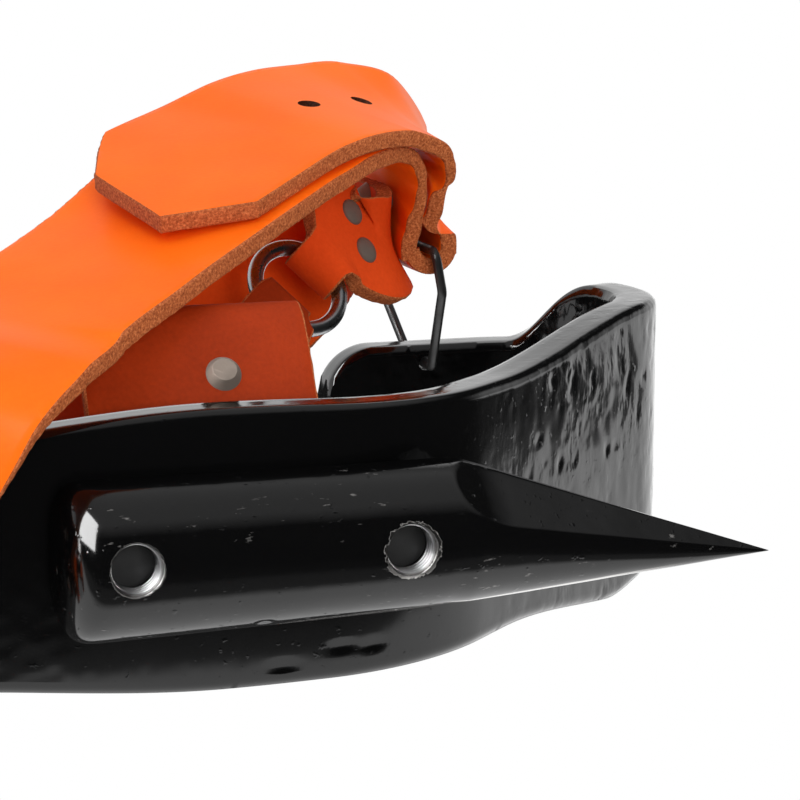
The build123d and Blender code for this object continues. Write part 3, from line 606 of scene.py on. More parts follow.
def stands_for(piece, node_name, body="climber"):
    """Let a piece ride on a body and stand for a CAD node."""
    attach(piece, body)
    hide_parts(node_name)


# %% [markdown]
# ## Stirrup
# The stirrup is one forged bar: the spike's arm, a wide footrest bend and a short far arm. Its route
# is three straight runs joined by two arcs. The width comes from a few knots with smooth steps
# between them. The lower edge of the bend is drawn up a little, so the band takes its two half widths
# one by one.

# %% Route helpers


def rounded_path(corners, radii, step):
    """Points along straight runs joined by tangent arcs, about one step apart."""
    corners = [np.array(corner, float) for corner in corners]
    points = []
    start = corners[0]
    for i, radius in enumerate(radii, 1):
        into = unit(corners[i] - corners[i - 1])
        out = unit(corners[i + 1] - corners[i])
        turn = math.acos(np.clip(into.dot(out), -1, 1))
        cut = radius * math.tan(turn / 2)
        bend_start = corners[i] - into * cut
        inward = unit(out - into * into.dot(out))
        centre = bend_start + inward * radius
        run = max(2, round(np.linalg.norm(bend_start - start) / step))
        points += [start + (bend_start - start) * t for t in np.linspace(0, 1, run, endpoint=False)]
        bend = max(4, round(radius * turn / step))
        for angle in np.linspace(0, turn, bend, endpoint=False):
            points.append(centre - inward * radius * math.cos(angle) + into * radius * math.sin(angle))
        start = corners[i] + out * cut
    run = max(2, round(np.linalg.norm(corners[-1] - start) / step))
    points += [start + (corners[-1] - start) * t for t in np.linspace(0, 1, run)]
    return np.array(points)


def ease(x, knots):
    """Smooth steps between (place, value) knots, for an array of places."""
    places, values = (np.array(column) for column in zip(*knots))
    i = np.clip(np.searchsorted(places, x) - 1, 0, len(places) - 2)
    t = np.clip((x - places[i]) / (places[i + 1] - places[i]), 0, 1)
    return values[i] + (values[i + 1] - values[i]) * t * t * (3 - 2 * t)


def travel_of(points):
    """Length travelled along a line of points."""
    return np.concatenate([[0], np.cumsum(np.linalg.norm(np.diff(points, axis=0), axis=1))])


# %% Stirrup band
band_thickness = 7.5
half_band = band_thickness / 2
arm_spacing = 90.0
arm_left, far_end_x = -180.0, 12.0
kink_x = 5.0
kink_angle = math.radians(43)
bend_middle_y = 66.0
bend_radii = (36.25, 20.25)
corner_radius = 9.0
forged_corner = 1.4
mid_z = 24.5
slant = np.array((math.cos(kink_angle), math.sin(kink_angle)))
kink_corner = np.array((kink_x - half_band * math.tan(kink_angle / 2), half_band))
far_corner = kink_corner + slant * ((arm_spacing - band_thickness) / slant[1])
plan = rounded_path(
    [(arm_left, half_band), kink_corner, far_corner, (far_end_x, arm_spacing - half_band)],
    bend_radii, 0.7,
)
near_widths = [(arm_left, 17.0), (-78.0, 17.0), (-26.0, 20.5), (20.0, 19.5), (57.0, 24.5)]
far_widths = [(far_end_x, 13.5), (46.0, 13.5), (60.0, 24.5)]
drawn_up = [(46.0, 0.0), (60.0, 3.0)]
half_width = np.where(
    plan[:, 1] < bend_middle_y, ease(plan[:, 0], near_widths), ease(plan[:, 0], far_widths),
)
plan_travel = travel_of(plan)
for from_end in (plan_travel, plan_travel[-1] - plan_travel):
    left = np.clip(corner_radius - from_end, 0, corner_radius)
    half_width = half_width - corner_radius + np.sqrt(corner_radius**2 - left**2)
stirrup_rows = np.zeros((len(plan), 8))
stirrup_rows[:, :2] = plan
stirrup_rows[:, 2] = mid_z
stirrup_rows[:, 5] = 1.0
stirrup_rows[:, 6] = half_width - ease(plan[:, 0], drawn_up)
stirrup_rows[:, 7] = half_width
stirrup = band("stirrup_forging", stirrup_rows, band_thickness, forged_corner, (black_paint,),
               columns=60, rim_steps=4, arc_steps=3)

# %% [markdown]
# ### Lumps, runs and pits
# Runs and pits in thick paint are real relief that bends the outline, so a bump isn't enough. A
# sculpting brush could raise them by hand. Here each vertex of the two faces moves a little along its
# normal, by sums of smooth noise, strongest on the bend; noise drawn out in height makes the runs.

# %% Lumps, drips and pits


def vertex_array(piece, attribute):
    """Positions or normals of a piece's vertices, as rows of three."""
    values = np.zeros(len(piece.data.vertices) * 3)
    piece.data.vertices.foreach_get(attribute, values)
    return values.reshape(-1, 3)


def push_out(piece, heights):
    """Move every vertex along its normal by a height in millimetres."""
    moved = vertex_array(piece, "co") + vertex_array(piece, "normal") * heights[:, None] * mm
    piece.data.vertices.foreach_set("co", moved.ravel())
    piece.data.update()


def dent(points, places, size, depth):
    """Long shallow dents at (x, z) places on the outer face of the spike's arm."""
    heights = np.zeros(len(points))
    for x, z in places:
        gone = ((points[:, 0] - x) / size[0]) ** 2 + ((points[:, 2] - z) / size[1]) ** 2
        heights -= depth * np.exp(-gone)
    return heights * (points[:, 1] < 1.0)


def design_places(piece):
    """Where a piece's vertices are in the design, in millimetres."""
    return (vertex_array(piece, "co") - np.array(home)) / mm


design = design_places(stirrup)
on_face = np.abs(vertex_array(stirrup, "normal")[:, 2]) < 0.5
lumpy_x, lumpy_run, lumpy_end_y = 12.0, 24.0, 84.0
apex_x, apex_run = 40, 12
left_x, left_run = -44.0, 8
lumpy_part = np.clip((design[:, 0] - lumpy_x) / lumpy_run, 0, 1) * (design[:, 1] < lumpy_end_y)
apex_part = np.clip((design[:, 0] - apex_x) / apex_run, 0, 1)
left_part = np.clip((left_x - design[:, 0]) / left_run, 0, 1)
lump_rise, bend_rise, peel_rise, drip_rise, mark_rise = 0.03, 0.05, 0.07, 0.035, 0.07
pit_depth, pit_level = 0.6, 0.36
dent_spots, dent_size, dent_depth = ((-17.6, 6.9), (-8.8, 9.2), (-3.9, 8.9)), (1.7, 0.55), 0.35
lumps = wander(design, 9.0) * (lump_rise + bend_rise * lumpy_part)
peel = wander(design * np.array((1, 1, 0.55)), 2.2, 11.0) * peel_rise * lumpy_part
drips = wander(design * np.array((1, 1, 0.16)), 1.9, 17.0) * drip_rise * apex_part
pit_noise = wander(design * np.array((1, 1, 0.7)), 2.0, 31.0)
pits = -np.clip(pit_noise - pit_level, 0, 1) * pit_depth * lumpy_part
scale_marks = wander(design, 2.4, 41.0) * mark_rise * left_part
dents = dent(design, dent_spots, dent_size, dent_depth)
push_out(stirrup, (lumps + peel + drips + pits + scale_marks + dents) * on_face)
print("relief on", int(on_face.sum()), "vertices")

# %% [markdown]
# ### Holes of the stirrup
# Two countersunk holes take the spike's screws, two take the leg bar's bolts, and a small one takes the
# wire link. Each is a cylinder or a cone taken out by an exact boolean, as a drill would do it.

# %% Holes


def bore(piece, holes):
    """Cut round holes, each a centre, a direction, two end radii and a length in millimetres."""
    for centre, direction, first, second, length in holes:
        bpy.ops.object.select_all(action="DESELECT")
        bpy.ops.mesh.primitive_cone_add(
            vertices=48, radius1=first * mm, radius2=second * mm, depth=length * mm,
            location=place(*centre), rotation=Vector(direction).to_track_quat("Z", "Y").to_euler(),
        )
        cutter = bpy.context.object
        cut = piece.modifiers.new("hole", "BOOLEAN")
        cut.operation = "DIFFERENCE"
        cut.solver = "EXACT"
        cut.object = cutter
        apply_modifiers(piece)
        bpy.data.objects.remove(cutter, do_unlink=True)
    print(piece.name, "holes", len(holes))


leg_side = (0, 1, 0)
through = 12.0
screw_hole, bolt_hole, link_hole = 4.0, 4.3, 1.25
sink_y, sink_radii, sink_depth = 6.0, (3.7, 7.5), 3.8
bolt_xs = (-137.0, -162.0)
link_hole_x, link_hole_z = 30.0, 34.8
stirrup_holes = []
for hole_x in hole_xs:
    stirrup_holes.append(((hole_x, half_band, gaff_z), leg_side, screw_hole, screw_hole, through))
    stirrup_holes.append(((hole_x, sink_y, gaff_z), leg_side, *sink_radii, sink_depth))
for bolt_x in bolt_xs:
    stirrup_holes.append(((bolt_x, half_band, mid_z), leg_side, bolt_hole, bolt_hole, through))
link_hole_at = (link_hole_x, arm_spacing - half_band, link_hole_z)
stirrup_holes.append((link_hole_at, leg_side, link_hole, link_hole, through))
bore(stirrup, stirrup_holes)
stands_for(stirrup, "stirrup")

# %% [markdown]
# ## Spike
# The gaff is a half round bar with a domed end and a ground point. Cutting it from a cylinder would
# leave hard edges, where thick paint has none. So every row of its grid is a section across the bar:
# rays from a middle point run out until they meet the round front, the flat back or one of the two
# ground faces, whichever comes first. The dome shrinks the first sections, and the lower half hangs
# a little towards the domed end.

# %% Faces of the spike
gaff_depth = 13.0
gaff_half = 10.4
arc_radius = 10.51
arc_y = arc_radius - gaff_depth
ridge = np.array((12.0, -13.0, 27.5))
upper_shoulder = np.array((10.0, -2.0, 36.4))
relief = np.array((22.0, 0.0, 26.0))
middle_y = -5.0
inside = np.array((0.0, middle_y, gaff_z))
cone_x = 8.0
lead_x = 14.0
lead_bend = 0.02


def facing_out(first, second):
    """Unit normal of a ground face through the tip, pointing away from the bar."""
    normal = unit(np.cross(first, second))
    return normal if (inside - gaff_tip).dot(normal) < 0 else -normal


def bar_reach(dy, dz):
    """How far a ray from the bar's middle runs to a flat side or to the round front."""
    half_b = (middle_y - arc_y) * dy
    front = -half_b + math.sqrt(half_b**2 - (middle_y - arc_y) ** 2 + arc_radius**2)
    return min(front, gaff_half / max(abs(dz), 1e-9))


upper_face = facing_out(gaff_tip - ridge, upper_shoulder - ridge)
back_face = facing_out(gaff_tip - relief, (0, 0, -1.0))
print("ground faces", upper_face.round(2), back_face.round(2))

# %% Sections of the spike
dome = 5.5
dome_power = 3.0
crown = 7.5
crown_power = 2.4
heel_sag = 0.18
sag_end = 5.0
sag_power = 0.7
gaff_xs = np.concatenate([
    gaff_left + dome * (1 - np.cos(np.linspace(0.03, math.pi / 2, 20))),
    np.linspace(gaff_left + dome, gaff_tip[0] - 0.25, 190)[1:],
])
angles = np.linspace(0, 2 * math.pi, 144, endpoint=False)
gaff_points = np.zeros((len(gaff_xs), len(angles), 3))
for i, x in enumerate(gaff_xs):
    shrink = np.clip((gaff_tip[0] - x) / (gaff_tip[0] - cone_x), 0, 1)
    start = np.array((x, middle_y, gaff_tip[2] + (gaff_z - gaff_tip[2]) * shrink))
    lead = lead_bend * max(0.0, lead_x - x) ** 2
    for k, angle in enumerate(angles):
        ray = np.array((0.0, math.cos(angle), math.sin(angle)))
        reach = [bar_reach(ray[1], ray[2]) * shrink]
        if ray[1] > 1e-6:
            reach.append(-middle_y / ray[1])
        for normal, room in ((upper_face, lead), (back_face, 0.0)):
            if ray.dot(normal) > 1e-6:
                reach.append(((gaff_tip - start).dot(normal) + room) / ray.dot(normal))
        gaff_points[i, k] = start + ray * max(min(reach), 0.0)
    wide, deep = (
        (1 - np.clip(1 - (x - gaff_left) / length, 0, 1) ** power) ** (1 / power)
        for length, power in ((dome, dome_power), (crown, crown_power))
    )
    gaff_points[i] = np.array((x, 0, gaff_z)) + (gaff_points[i] - (x, 0, gaff_z)) * (1, deep, wide)
    sag = heel_sag * np.clip((sag_end - x) / (sag_end - gaff_left), 0, 1) ** sag_power
    gaff_points[i, :, 2] += sag * np.minimum(gaff_points[i, :, 2] - gaff_z, 0)
end_row = np.repeat(gaff_points[:1].mean(axis=1, keepdims=True), len(angles), axis=1)
tip_row = np.repeat(gaff_tip[None, None, :], len(angles), axis=1)
gaff = rolled_grid("gaff_spike", np.concatenate([end_row, gaff_points, tip_row]))[0]
gaff.data.materials.append(gaff_paint)
close_mesh(gaff)
print("spike", len(gaff.data.polygons), "faces")

# %% [markdown]
# ### Skin and holes of the spike
# Paint softens every ground edge, so the mesh is smoothed before the waves and runs of the paint are
# pushed out. The two tapped holes are drilled last, which keeps their mouths sharp.

# %% Spike skin and holes
soft_edges = gaff.modifiers.new("soft_edges", "SMOOTH")
soft_edges.factor = 0.5
soft_edges.iterations = 2
apply_modifiers(gaff)
design = design_places(gaff)
run_x, run_z = -33.0, 27.5
run_length, run_height = 4.0, 2.0
wave_rise, speck_rise, run_rise = 0.04, 0.008, 0.16
on_front = design[:, 1] < -0.5
from_run = ((design[:, 0] - run_x) / run_length) ** 2 + ((design[:, 2] - run_z) / run_height) ** 2
runs = np.exp(-from_run)
skin = wander(design, 8.0) * wave_rise + wander(design, 1.6, 5.0) * (speck_rise + run_rise * runs)
skin += dent(design, ((-22.2, 16.0),), (1.0, 0.4), 0.3)
push_out(gaff, skin * on_front)
tap_y, tap_length = -7.0, 16.0
bore(gaff, [
    ((hole_x, tap_y, gaff_z), leg_side, hole_radius, hole_radius, tap_length) for hole_x in hole_xs
])
bpy.ops.object.shade_smooth_by_angle(angle=math.radians(35))
stands_for(gaff, "gaff")

# %% [markdown]
# ## Threads in the spike's holes
# The holes are tapped. A real thread is one long helix, but only its first turns show. A few leaning
# rings just inside each mouth catch the light in the same way, and are joined into one piece.

# %% Threads
thread_turns, thread_pitch = 4, 0.9
first_turn_y = -11.2
thread_radius, thread_height = 3.6, 0.3
thread_lean = 0.06
thread_rings = []
for hole_x in hole_xs:
    for turn in range(thread_turns):
        bpy.ops.object.select_all(action="DESELECT")
        bpy.ops.mesh.primitive_torus_add(
            major_radius=thread_radius * mm, minor_radius=thread_height * mm,
            major_segments=48, minor_segments=8,
            location=place(hole_x, first_turn_y + thread_pitch * turn, gaff_z),
            rotation=(math.pi / 2, thread_lean, 0),
        )
        thread_rings.append(bpy.context.object)
threads = join_pieces("gaff_hole_threads", thread_rings)
threads.data.materials.append(bare_steel)
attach(threads, "climber")
print("thread rings", len(thread_rings))

# %% [markdown]
# ## Foot strap
# One strip starts flat on the spike's arm, rises over the rim, crosses to the far side, turns round
# the wire link and comes back on top of itself to a free tip with cut corners. A smooth curve
# through listed stations carries the strip; the stations sit on its near edge, which is the
# line that the photo shows best. The tip is cut by narrowing the last rows.

# %% Station helpers
leather = 2.8
strap_width = 38.0


def station(centre, across, width, far=None):
    """One place of a strap: centre, across direction and its width, or its two half widths."""
    halves = (width / 2, width / 2) if far is None else (width, far)
    return [*centre, *unit(across), *halves]


def near_station(edge, across, width):
    """One place of a strap given by its near edge."""
    return station(np.array(edge) + unit(across) * width / 2, across, width)


def smooth_route(stations, step):
    """Rows along a smooth curve through the stations, by Catmull-Rom spans."""
    knots = np.array(stations, float)
    knots = np.vstack([2 * knots[0] - knots[1], knots, 2 * knots[-1] - knots[-2]])
    rows = []
    for i in range(1, len(knots) - 2):
        p0, p1, p2, p3 = knots[i - 1:i + 3]
        span = np.linalg.norm(p2[:3] - p1[:3])
        m1 = (p2 - p0) / max(np.linalg.norm((p2 - p0)[:3]), 1e-6) * span
        m2 = (p3 - p1) / max(np.linalg.norm((p3 - p1)[:3]), 1e-6) * span
        for t in np.linspace(0, 1, max(2, round(span / step)), endpoint=False):
            rows.append(
                (2 * t**3 - 3 * t**2 + 1) * p1 + (t**3 - 2 * t**2 + t) * m1
                + (-2 * t**3 + 3 * t**2) * p2 + (t**3 - t**2) * m2
            )
    rows.append(knots[-2])
    return np.array(rows)


# %% Lower layer of the foot strap
near_end = np.array((-99.0, -1.4, 11.5))
end_along = unit((0.57, 0.0, 0.82))
end_across = unit((-0.82, 0.0, 0.57))
lower_layer = [
    station(near_end, end_across, strap_width),
    station(near_end + end_along * 21, end_across, strap_width),
    station(near_end + end_along * 27, end_across, strap_width),
    station((-77.0, -4.4, 43.0), (-0.80, 0.15, 0.58), strap_width),
    station((-68.0, 1.2, 52.0), (-0.76, 0.50, 0.40), strap_width),
    station((-59.0, 11.0, 54.0), (-0.70, 0.68, 0.15), strap_width),
] + [near_station(edge, across, strap_width) for edge, across in (
    ((-39.4, 5.0, 54.1), (-0.65, 0.755, 0.04)),
    ((-25.1, 17.0, 60.4), (-0.69, 0.72, 0.0)),
    ((-14.4, 27.0, 64.6), (-0.68, 0.73, 0.02)),
    ((-5.0, 36.0, 68.0), (-0.66, 0.74, 0.08)),
    ((1.7, 43.0, 70.4), (-0.60, 0.78, 0.12)),
    ((6.4, 48.0, 72.0), (-0.53, 0.82, 0.12)),
    ((11.2, 53.0, 73.2), (-0.45, 0.86, 0.145)),
    ((14.9, 57.0, 73.6), (-0.36, 0.89, 0.17)),
    ((17.8, 60.0, 73.0), (-0.25, 0.92, 0.19)),
    ((20.3, 62.5, 71.0), (-0.12, 0.95, 0.19)),
    ((21.8, 64.5, 67.2), (0.03, 0.97, 0.18)),
    ((22.6, 66.0, 63.2), (0.06, 0.99, 0.07)),
)]
print("stations of the lower layer", len(lower_layer))

# %% Fold and upper layer of the foot strap
link_bar = (26.0, arm_spacing - half_band, 57.5)
fold_mid = 3.3
fold = [
    station((link_bar[0] - fold_mid * math.cos(a), link_bar[1], link_bar[2] - fold_mid * math.sin(a)),
            (0, 1, 0), strap_width)
    for a in np.linspace(0, math.pi, 7)
]
upper_layer = [near_station(edge, across, strap_width) for edge, across in (
    ((28.5, 66.5, 63.0), (0.03, 0.99, 0.05)),
    ((26.0, 65.2, 66.5), (0.22, 0.96, 0.15)),
    ((26.2, 63.5, 70.0), (0.08, 0.95, 0.30)),
    ((24.2, 61.0, 73.6), (-0.10, 0.93, 0.28)),
    ((20.8, 58.0, 75.8), (-0.25, 0.92, 0.24)),
    ((16.8, 55.0, 76.8), (-0.37, 0.88, 0.21)),
    ((10.3, 50.0, 76.6), (-0.48, 0.84, 0.175)),
    ((4.2, 46.0, 75.2), (-0.57, 0.79, 0.13)),
    ((-3.9, 39.5, 72.2), (-0.66, 0.74, 0.13)),
    ((-13.4, 30.7, 68.9), (-0.66, 0.74, 0.13)),
)]
tip_start = np.array(upper_layer[-2])
tip_run = unit((np.array(upper_layer[-1]) - tip_start)[:3])
tip_length = 24.7
route_step = 0.6
tip_end = tip_start.copy()
tip_end[:3] += tip_run * tip_length
foot_rows = smooth_route(lower_layer + fold + upper_layer + [tip_end], route_step)
foot_travel = travel_of(foot_rows[:, :3])
print("foot strap length", round(foot_travel[-1]), "mm")

# %% Tip of the foot strap
past_start = foot_travel - (foot_travel[-1] - tip_length)
half_strap = strap_width / 2
near_cut, near_left = 13.4, 9.0
far_cut, far_left, far_end = 15.4, 9.7, -8.6
foot_rows[:, 6] = np.interp(past_start, (0, near_cut, tip_length), (half_strap, half_strap, near_left))
foot_rows[:, 7] = np.interp(past_start, (0, far_cut, tip_length), (half_strap, far_left, far_end))
cut_corner = 0.3
straps = (orange_grain, orange_grain, raw_edge)
foot_strap = band("foot_strap_leather", foot_rows, leather, cut_corner, straps, columns=32,
                  rim_steps=6, fray=0.16, ripple=0.12)

# %% [markdown]
# ### Punched holes
# The prong of a buckle goes through holes punched in the strip. A boolean cuts them square to the face
# at two stations, and the faces inside get a near black copy of the raw edge as painted shade.

# %% Punched holes
punch_radius = 1.9
punch_length = leather + 0.5
billet_holes = []
for first, second in ((4, 4), (5, 6)):
    centre = (np.array(upper_layer[first]) + np.array(upper_layer[second])) / 2
    run = (np.array(upper_layer[second + 1]) - np.array(upper_layer[first - 1]))[:3]
    through_face = np.cross(unit(run), centre[3:6])
    billet_holes.append((centre[:3], through_face, punch_radius, punch_radius, punch_length))
bore(foot_strap, billet_holes)
# the walls inside the holes get the raw edge's copy with painted shade
hole_slot = len(foot_strap.data.materials)
foot_strap.data.materials.append(painted_shade_hole_edge)
for centre, direction, radius, _, _ in billet_holes:
    axis = Vector(unit(direction))
    for polygon in foot_strap.data.polygons:
        offset = polygon.center - place(*centre)
        if offset.cross(axis).length < radius * mm and abs(offset.dot(axis)) < leather * mm:
            polygon.material_index = hole_slot
stands_for(foot_strap, "foot_strap")

# %% [markdown]
# ## Tabs and heel strap
# Inside the loop two short tabs hold a steel ring, and a narrower heel strap goes back to the
# spike's arm. They show their flesh side, so they are duller and redder than the foot strap. The near
# tab wears a darker copy of the flesh side with painted shade, and the heel strap a lighter copy with
# painted light. Each tab starts as an eye round the ring's wire and widens into a flap or a panel, so
# its stations have two half widths. The near tab and the heel strap stand so close to the arm that
# its rim would mirror nothing else; they are left out of mirror rays, and the rim keeps its light line.

# %% Eyes round the ring
ring_centre = np.array((0.0, 56.8, 53.1))
far_pull = unit((0.70, 0.55, 0.46))
ring_across = np.array((-0.68, 0.30, 0.67))
ring_across = unit(ring_across - far_pull * ring_across.dot(far_pull))
ring_facing = np.cross(far_pull, ring_across)
eye_mid = 2.9
eye_reach = 7.5
tab_width = 9.0
eye_start, eye_end = math.radians(-130), math.radians(65)


def eye_fold(pull):
    """Stations round the ring's wire, from behind it to the front, where the tab begins."""
    middle = ring_centre + pull * eye_reach
    return [
        station(middle - pull * eye_mid * math.cos(a) + ring_facing * eye_mid * math.sin(a),
                ring_across, tab_width)
        for a in np.linspace(eye_start, eye_end, 7)
    ]


# %% Routes of the tabs and the heel strap
panel_x = -18.0
panel_right = 8.5
panel_left = 25.5
panel_y = 8.9
flap_across = (-0.45, 0.22, 0.86)
far_tab_x = 19.1
far_tab_z = 61.0
heel_end_x = 16.0
near_run = [station(*row) for row in (
    ((-5.0, 50.0, 51.2), ring_across, 6.5, 5.0),
    ((-8.5, 46.5, 47.5), (-0.78, 0.32, 0.50), 7.0, 6.0),
    ((-14.0, 39.0, 44.5), (-0.88, 0.30, 0.25), 7.5, 8.0),
    ((-17.0, 31.0, 48.0), (-0.97, 0.15, 0.08), 8.0, 12.0),
    ((panel_x, 25.0, 53.2), (-1, 0.03, 0), panel_right, 20.0),
    ((panel_x, 20.8, 55.4), (-1, 0, 0), panel_right, panel_left),
    ((panel_x, 17.3, 53.2), (-1, 0, 0), panel_right, panel_left),
    ((panel_x, 11.0, 44.0), (-1, 0, 0), panel_right, panel_left),
    ((panel_x, panel_y, 39.5), (-1, 0, 0), panel_right, panel_left),
    ((panel_x, panel_y, 38.3), (-1, 0, 0), panel_right, panel_left),
    ((panel_x, panel_y, 17.0), (-1, 0, 0), panel_right, panel_left),
)]
far_run = [station(*row) for row in (
    ((6.0, 58.8, 58.3), (-0.58, 0.27, 0.77), 5.5, 5.0),
    ((8.4, 61.3, 58.6), flap_across, 7.0, 12.0),
    ((16.5, 67.3, 57.5), (-0.40, 0.20, 0.90), 9.5, 11.0),
    ((18.6, 70.8, 59.5), (-0.10, 0.05, 1), 8.5, 8.0),
    ((far_tab_x, 73.6, far_tab_z), (0, 0, 1), 6.5, 6.5),
    ((far_tab_x, 96.0, far_tab_z), (0, 0, 1), 6.5, 6.5),
)]
heel_run = [station(*row) for row in (
    ((heel_end_x, 95.0, 57.5), (0, 0, 1), 16.0),
    ((heel_end_x, 84.0, 57.5), (0, 0, 1), 16.0),
    ((14.0, 80.5, 57.0), (-0.20, 0, 0.98), 16.0),
    ((8.5, 77.0, 55.5), (-0.45, 0.20, 0.87), 20.0),
    ((0.5, 72.0, 53.0), (-0.60, 0.30, 0.74), 25.0),
    ((-8.0, 65.5, 49.5), (-0.62, 0.25, 0.74), 27.0),
    ((-18.0, 57.5, 43.5), (-0.60, 0.22, 0.77), 27.0),
    ((-31.0, 45.0, 37.0), (-0.50, 0.22, 0.84), 27.0),
    ((-42.5, 30.0, 31.5), (-0.35, 0.20, 0.92), 27.0),
    ((-48.5, 16.5, 27.5), (-0.12, 0.05, 0.98), 27.0),
    ((-52.0, 10.4, 25.5), (0, 0, 1), 27.0),
    ((-54.5, panel_y, mid_z), (0, 0, 1), 27.0),
    ((-70.0, panel_y, mid_z), (0, 0, 1), 27.0),
)]
print("stations", len(near_run), len(far_run), len(heel_run))

# %% Tabs and heel strap
# The near tab wears the flesh side's copy with painted shade, the heel strap its copy with painted
# light.
near_sides, far_sides, heel_sides = (
    (face, face, raw_edge) for face in (painted_shade_flesh, flesh_side, painted_light_flesh)
)
tab_step = 0.8
tabs = {}
for tab_name, node_name, stations, finishes in (
    ("near_tab_leather", "near_tab", eye_fold(-far_pull) + near_run, near_sides),
    ("far_tab_leather", "far_tab", eye_fold(far_pull) + far_run, far_sides),
    ("heel_strap_leather", "heel_strap", heel_run, heel_sides),
):
    tab = band(tab_name, smooth_route(stations, tab_step), leather, cut_corner, finishes, columns=24,
               rim_steps=5, fray=0.15, ripple=0.10)
    stands_for(tab, node_name)
    tab.visible_glossy = node_name == "far_tab"
    tabs[node_name] = tab

# %% [markdown]
# ### Rivet heads of the far tab
# Two low heads sit on the flap. The flap is curved, so a ray from the camera finds its surface, and a
# flattened ball is turned to the normal there; its back half sinks into the leather.

# %% Rivet heads of the far tab
head_spots = ((11.8, 65.8, 64.1), (13.5, 63.3, 58.0))
head_radius, head_flatness = 2.3, 0.38
rivet_heads = []
for spot in head_spots:
    sight = (place(*spot) - camera.location).normalized()
    _, where, facing, _ = tabs["far_tab"].ray_cast(camera.location, sight)
    bpy.ops.object.select_all(action="DESELECT")
    bpy.ops.mesh.primitive_uv_sphere_add(
        segments=32, ring_count=16, radius=head_radius * mm, location=where,
        scale=(1, 1, head_flatness), rotation=facing.to_track_quat("Z", "Y").to_euler(),
    )
    rivet_heads.append(bpy.context.object)
rivet_head = join_pieces("far_tab_rivet_heads", rivet_heads[::-1])
rivet_head.data.materials.append(dull_rivet)
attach(rivet_head, "climber")
print("rivet heads", len(rivet_heads))

# %% [markdown]
# ## Pieces with worn edges
# Bars, bolts and rivets, and the leather outside the photo, are copies of their CAD meshes with the
# corners taken off by a bevel. Weighted normals keep the flat sides flat in the gloss. On leather the
# cut sides are found by their normals and get the raw edge. The link's wire is drawn a little thinner.

# %% Copies of CAD meshes
hard_edge = math.radians(40)
cut_side = 0.6


def merged_copy(node_name, new_name):
    """A copy of a CAD node with merged corners and no finish."""
    piece = bpy.data.objects.new(new_name, nodes[node_name].data.copy())
    bpy.context.scene.collection.objects.link(piece)
    piece.data.materials.clear()
    close_mesh(piece, 1e-6)
    return piece


def worn_copy(node_name, new_name, finishes, width, body="climber", cut_axis=None):
    """A copy of a CAD node with rounded edges, which stands for it."""
    piece = merged_copy(node_name, new_name)
    edge = piece.modifiers.new("worn_edge", "BEVEL")
    edge.width = width * mm
    edge.segments = 2
    edge.limit_method = "ANGLE"
    edge.angle_limit = hard_edge
    apply_modifiers(piece)
    bpy.ops.object.shade_smooth_by_angle(angle=hard_edge)
    flat_shade = piece.modifiers.new("flat_shade", "WEIGHTED_NORMAL")
    flat_shade.weight = 100
    flat_shade.keep_sharp = True
    apply_modifiers(piece)
    for finish in finishes:
        piece.data.materials.append(finish)
    if cut_axis is not None:
        for polygon in piece.data.polygons:
            polygon.material_index = int(abs(polygon.normal.dot(Vector(cut_axis))) > cut_side)
    stands_for(piece, node_name, body)
    return piece


# %% Worn copies
rivet_edge = 0.7
wire_thinning = 0.3
for node_name, finish, width in (
    ("foot_strap_rivets", dull_rivet, rivet_edge), ("near_tab_rivets", dull_rivet, rivet_edge),
    ("far_tab_rivets", dull_rivet, rivet_edge), ("heel_strap_rivets", dull_rivet, rivet_edge),
    ("calf_plate_rivets", dull_rivet, rivet_edge), ("leg_bar", black_paint, 1.0),
    ("leg_bar_bolts", bare_steel, 0.6), ("leg_bar_nuts", bare_steel, 0.4),
    ("calf_plate", black_paint, 0.8),
):
    worn_copy(node_name, node_name + "_worn", (finish,), width)
cut_leather = (orange_grain, raw_edge)
worn_copy("foot_buckle_chape", "foot_buckle_chape_leather", cut_leather, 0.4, cut_axis=end_across)
worn_copy("calf_strap", "calf_strap_leather", cut_leather, 0.4, cut_axis=(1, 0, 0))
worn_copy("calf_strap_keeper", "calf_keeper_leather", cut_leather, 0.3, "keeper", (0, 1, 0))
link_wire = worn_copy("far_arm_link", "far_arm_link_wire", (black_wire,), 0.05, "far_link")
drawn_thin = link_wire.modifiers.new("drawn_thin", "DISPLACE")
drawn_thin.strength = -wire_thinning * mm
drawn_thin.mid_level = 0.0
apply_modifiers(link_wire)
print("link wire", len(link_wire.data.polygons), "faces")

# %% [markdown]
# ## Calf pad
# The pad is a stuffed leather cushion on the calf plate. A cloth simulation could blow it up, but it
# would have to settle each time. A copy of its plain solid is remeshed into an even skin instead, and
# smoothed until its edges are drawn in and its face is crowned.

# %% Calf pad
pad_cell = 1.4
crease_size, crease_rise = 14.0, 0.35
calf_pad = merged_copy("calf_pad", "calf_pad_stuffed")
even_skin = calf_pad.modifiers.new("even_skin", "REMESH")
even_skin.mode = "VOXEL"
even_skin.voxel_size = pad_cell * mm
drawn_in = calf_pad.modifiers.new("drawn_in", "SMOOTH")
drawn_in.factor = 0.5
drawn_in.iterations = 14
apply_modifiers(calf_pad)
push_out(calf_pad, wander(vertex_array(calf_pad, "co") / mm, crease_size) * crease_rise)
bpy.ops.object.shade_smooth()
calf_pad.data.materials.append(pad_leather)
stands_for(calf_pad, "calf_pad")
print("pad", len(calf_pad.data.polygons), "faces")

# %% [markdown]
# ## Light and background
# The photo is a studio picture on white. What lights the leather and what the paint mirrors are set
# apart by the kind of ray. The paint mirrors a white wall behind that reaches higher on the left, a dim
# ceiling and a dark room in front, which is what makes the black band read as black with a white rim.

# %% Shaders by kind of ray


def background(tree, strength):
    """A white background of a plain or linked strength."""
    shade = tree.nodes.new("ShaderNodeBackground")
    shade.inputs["Color"].default_value = (1, 1, 1, 1)
    feed(tree, shade.inputs["Strength"], strength)
    return shade.outputs["Background"]


